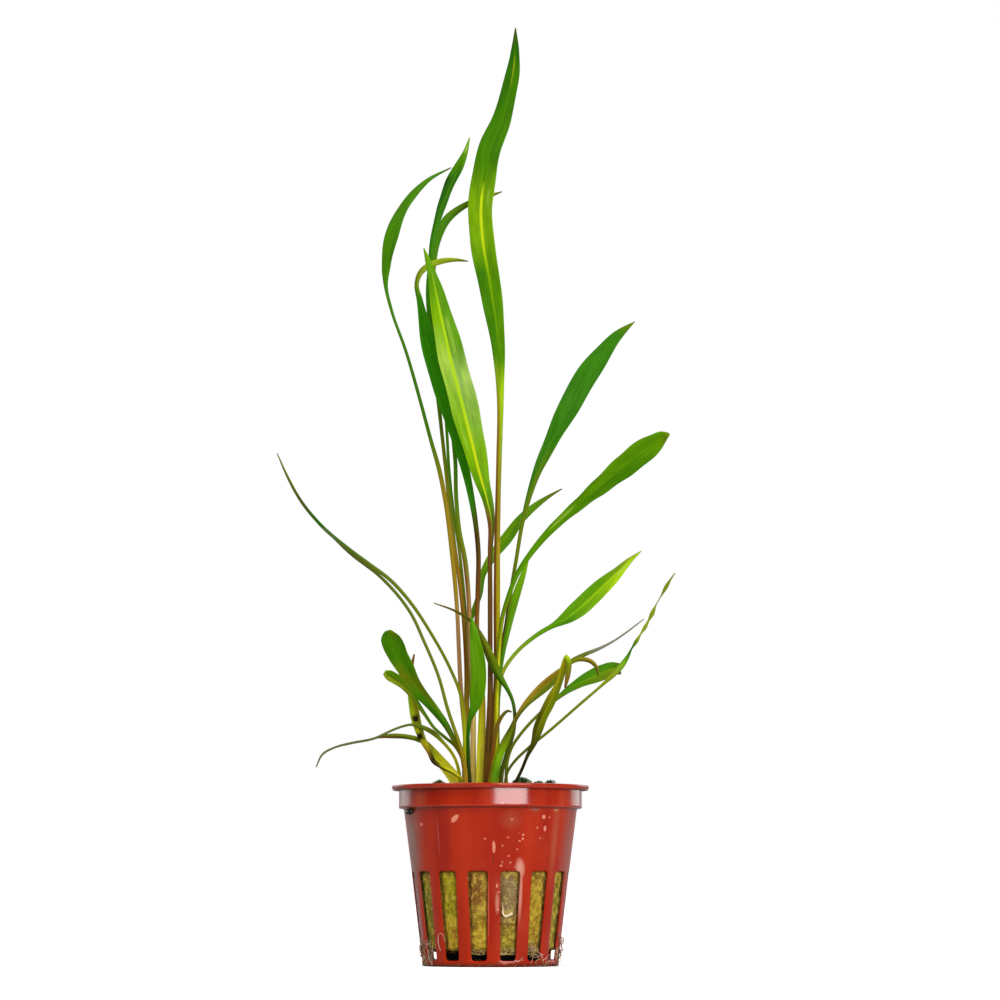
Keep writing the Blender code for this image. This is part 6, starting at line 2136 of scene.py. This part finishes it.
@dataclass(frozen=True)
class Studio:
    """The pale floor, the soft lights and the camera. Lengths are metres."""

    floor_glow: float = 0.12
    floor_seen: Point = (0.3, 0.3, 0.3)
    floor_drop_mm: float = 0.02
    floor_reach_mm: Point = (4000.0, -3000.0, 9000.0)
    panel_glow: float = 2.2

    def floor(self) -> None:
        """Lays a wide pale floor that isn't part of the plant."""
        material = bpy.data.materials.new("studio_floor")
        material.use_nodes = True
        nodes = material.node_tree.nodes
        shader = nodes["Principled BSDF"]
        for name, value in (("Base Color", WHITE), ("Emission Color", WHITE), ("Roughness", 1.0),
                            ("Emission Strength", self.floor_glow), ("Specular IOR Level", 0.0)):
            shader.inputs[name].default_value = value
        # The plant sees a greyer floor than the camera does, as if its white part were small.
        sketch = Sketch(material.node_tree)
        grey = sketch.out("ShaderNodeBsdfDiffuse", {"Color": (*self.floor_seen, 1.0)})
        seen = sketch.add("ShaderNodeLightPath").outputs["Is Camera Ray"]
        both = sketch.out("ShaderNodeMixShader", {0: seen, 1: grey, 2: shader.outputs[0]})
        sketch.put(nodes["Material Output"].inputs["Surface"], both)
        side, near, far = self.floor_reach_mm
        places = ((-side, near), (side, near), (side, far), (-side, far))
        corners = [(x, y, -self.floor_drop_mm) for x, y in places]
        make_piece("studio_floor", np.array(corners), [(0, 1, 2, 3)], material)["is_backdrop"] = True

    def light(self, name: str, at: Point, towards: Point, size: Pair, watts: float) -> None:
        """Hangs one soft light.

        Args:
            name: Its name.
            at: Where it hangs.
            towards: What it faces.
            size: Its width and height.
            watts: Its strength.
        """
        data = bpy.data.lights.new(name, "AREA")
        data.shape = "RECTANGLE"
        data.size, data.size_y = size
        data.energy = watts
        lamp = bpy.data.objects.new(name, data)
        lamp.location = at
        lamp.rotation_euler = (Vector(towards) - Vector(at)).to_track_quat("-Z", "Y").to_euler()
        lamp.visible_camera = False
        bpy.context.scene.collection.objects.link(lamp)
        lamp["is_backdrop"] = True

    def surroundings(self) -> None:
        """Gives the room: white behind the plant, and softer light from the front."""
        world = bpy.data.worlds.new("studio_room")
        bpy.context.scene.world = world
        world.use_nodes = True
        sketch = Sketch(world.node_tree)
        # What comes from each side: the room is brightest behind and above the plant.
        parts = sketch.parts(sketch.add("ShaderNodeTexCoord").outputs["Generated"])
        back = sketch.between(parts["Y"], -0.9, 0.6, 0.34, 1.0)
        high = sketch.between(parts["Z"], 0.1, 0.9, 0.0, 0.5)
        light = sketch.math("ADD", back, high)
        # Shiny surfaces see a dark room in front, so that only their edges turn pale.
        gleam = sketch.between(parts["Y"], -0.1, 0.95, 0.03, 0.7)
        beside = sketch.math("ABSOLUTE", parts["X"])
        panel = sketch.times(sketch.between(beside, 0.46, 0.56), sketch.between(beside, 0.8, 0.88, 1.0, 0.0))
        panel = sketch.times(panel, sketch.between(parts["Y"], 0.2, 0.4))
        gleam = sketch.math("ADD", gleam, sketch.times(panel, self.panel_glow))
        ray = sketch.add("ShaderNodeLightPath").outputs
        inputs = {0: ray["Is Glossy Ray"], 2: light, 3: gleam}
        light = sketch.out("ShaderNodeMix", inputs, data_type="FLOAT")
        strength = sketch.out("ShaderNodeMix", {0: ray["Is Camera Ray"], 2: light, 3: 1.0}, data_type="FLOAT")
        shader = world.node_tree.nodes["Background"]
        shader.inputs["Color"].default_value = WHITE
        sketch.put(shader.inputs["Strength"], strength)

    def camera(self) -> None:
        """Sets the camera where the photograph was taken from."""
        data = bpy.data.cameras.new("portrait_camera")
        data.lens = LENS_MM
        data.sensor_width = SENSOR_MM
        data.clip_start = 0.01
        data.clip_end = 100.0
        camera = bpy.data.objects.new("portrait_camera", data)
        camera.location = tuple(EYE * MM)
        camera.rotation_euler = (math.radians(90.0 + EYE_PITCH_DEG), 0.0, 0.0)
        bpy.context.scene.collection.objects.link(camera)
        bpy.context.scene.camera = camera

    def build(self) -> None:
        """Sets up the whole studio."""
        self.floor()
        self.surroundings()
        self.light("key_light", (0.385, -0.81, 0.17), (0.0, 0.0, 0.10), (0.66, 0.30), 6.3)
        self.light("fill_light", (-0.5, -0.6, 1.1), (0.0, 0.0, 0.12), (0.7, 0.7), 5.0)
        self.camera()
        bpy.context.scene.view_settings.view_transform = "Standard"
        bpy.context.scene.view_settings.look = "None"


def write_size() -> None:
    """Writes the CAD's box and the dressed plant's box side by side."""
    shown = [list(corner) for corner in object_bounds()]
    for label, low, high in (("CAD", *CAD_BOX), ("dressed", *shown)):
        LOG.info("%s box: %s mm", label, [round((b - a) / MM, 1) for a, b in zip(low, high)])


CROWN_BARK = PlantFinish("crown_bark", ((0.0, (70, 54, 22)), (1.0, (150, 120, 50))), 300.0)
MOSS_GREEN = PlantFinish("moss_green", ((0.0, (30, 46, 22)), (0.5, (62, 92, 48)), (1.0, (120, 146, 84))),
                         700.0, 0.95, shine=0.05)
PALE_ROOT = PlantFinish("root_cream", ((0.0, (190, 152, 104)), (0.5, (218, 194, 148)),
                                       (1.0, (232, 216, 184))), 420.0, 0.5, 0.1)
FINE_ROOT = PlantFinish("root_strands", ((0.0, (110, 76, 50)), (0.4, (168, 134, 100)),
                                         (0.75, (196, 164, 142)), (1.0, (214, 188, 168))), 300.0)
WOOL_FIBRE = PlantFinish("wool_fibre", ((0.0, (150, 116, 40)), (1.0, (214, 190, 120))), 300.0)
CRUST = PlantFinish("foot_crust", ((0.0, (70, 36, 18)), (1.0, (150, 96, 66))), 500.0)
SOIL = PlantFinish("black_soil", ((0.0, (8, 6, 4)), (1.0, (34, 26, 16))), 600.0, 0.35, shine=0.5)


def main() -> None:
    """Builds every piece, ties it to the frame and sets up the studio."""
    logging.basicConfig(level=logging.INFO, format="%(name)s: %(message)s")
    groups = ShaderGroups()
    fur, threads = Fur(), Threads()
    pot = Pot()
    hand_over(pot.build(Repeater(), PlasticFinish(groups).material()), Slot.POT, "net_pot")
    plug = Wool(pot).build(WoolFinish(groups).material())
    hairs = copied(plug, "rock_wool_fibres")
    fibre = WOOL_FIBRE.material()
    fur.grow(hairs, Density=3.6e5, Length=1.6 * MM, Thickness=0.05 * MM, Lift=0.12, Seed=7, Material=fibre)
    hand_over(plug, Slot.WOOL, "rock_wool")
    hand_over(hairs, Slot.WOOL)
    hand_over(Crown().build(CROWN_BARK.material()), Slot.CROWN, "crown")
    leaf_finish = LeafFinish(groups)
    maker = LeafMaker(LeafShape())
    for number, plan in enumerate(PLANS):
        look = LOOKS[plan.name]
        leaf = maker.build(plan, look, number, leaf_finish.material(plan, look))
        leaf.name = plan.name.replace("leaf_", "blade_")
        hand_over(leaf, plan.slot, plan.name)
    moss = Moss(fur, MOSS_GREEN.material())
    for number, cushion in enumerate(CUSHIONS):
        hand_over(moss.build(cushion, number), Slot.MOSS, cushion.node)
    hand_over(Roots(threads, PALE_ROOT.material()).pale(), Slot.ROOT, "root_pale")
    fine_roots = Roots(threads, FINE_ROOT.material())
    for tuft in TUFTS:
        hand_over(fine_roots.tuft(tuft, pot), Slot.ROOT, tuft.node)
    hand_over(make_crust(pot, CRUST.material()), Slot.ROOT)
    hand_over(Roots(threads, fibre).tuft(WOOL_FRINGE, pot), Slot.WOOL)
    hand_over(make_soil(SOIL.material()), Slot.WOOL)
    Studio().build()
    write_size()


if __name__ == "__main__":
    main()
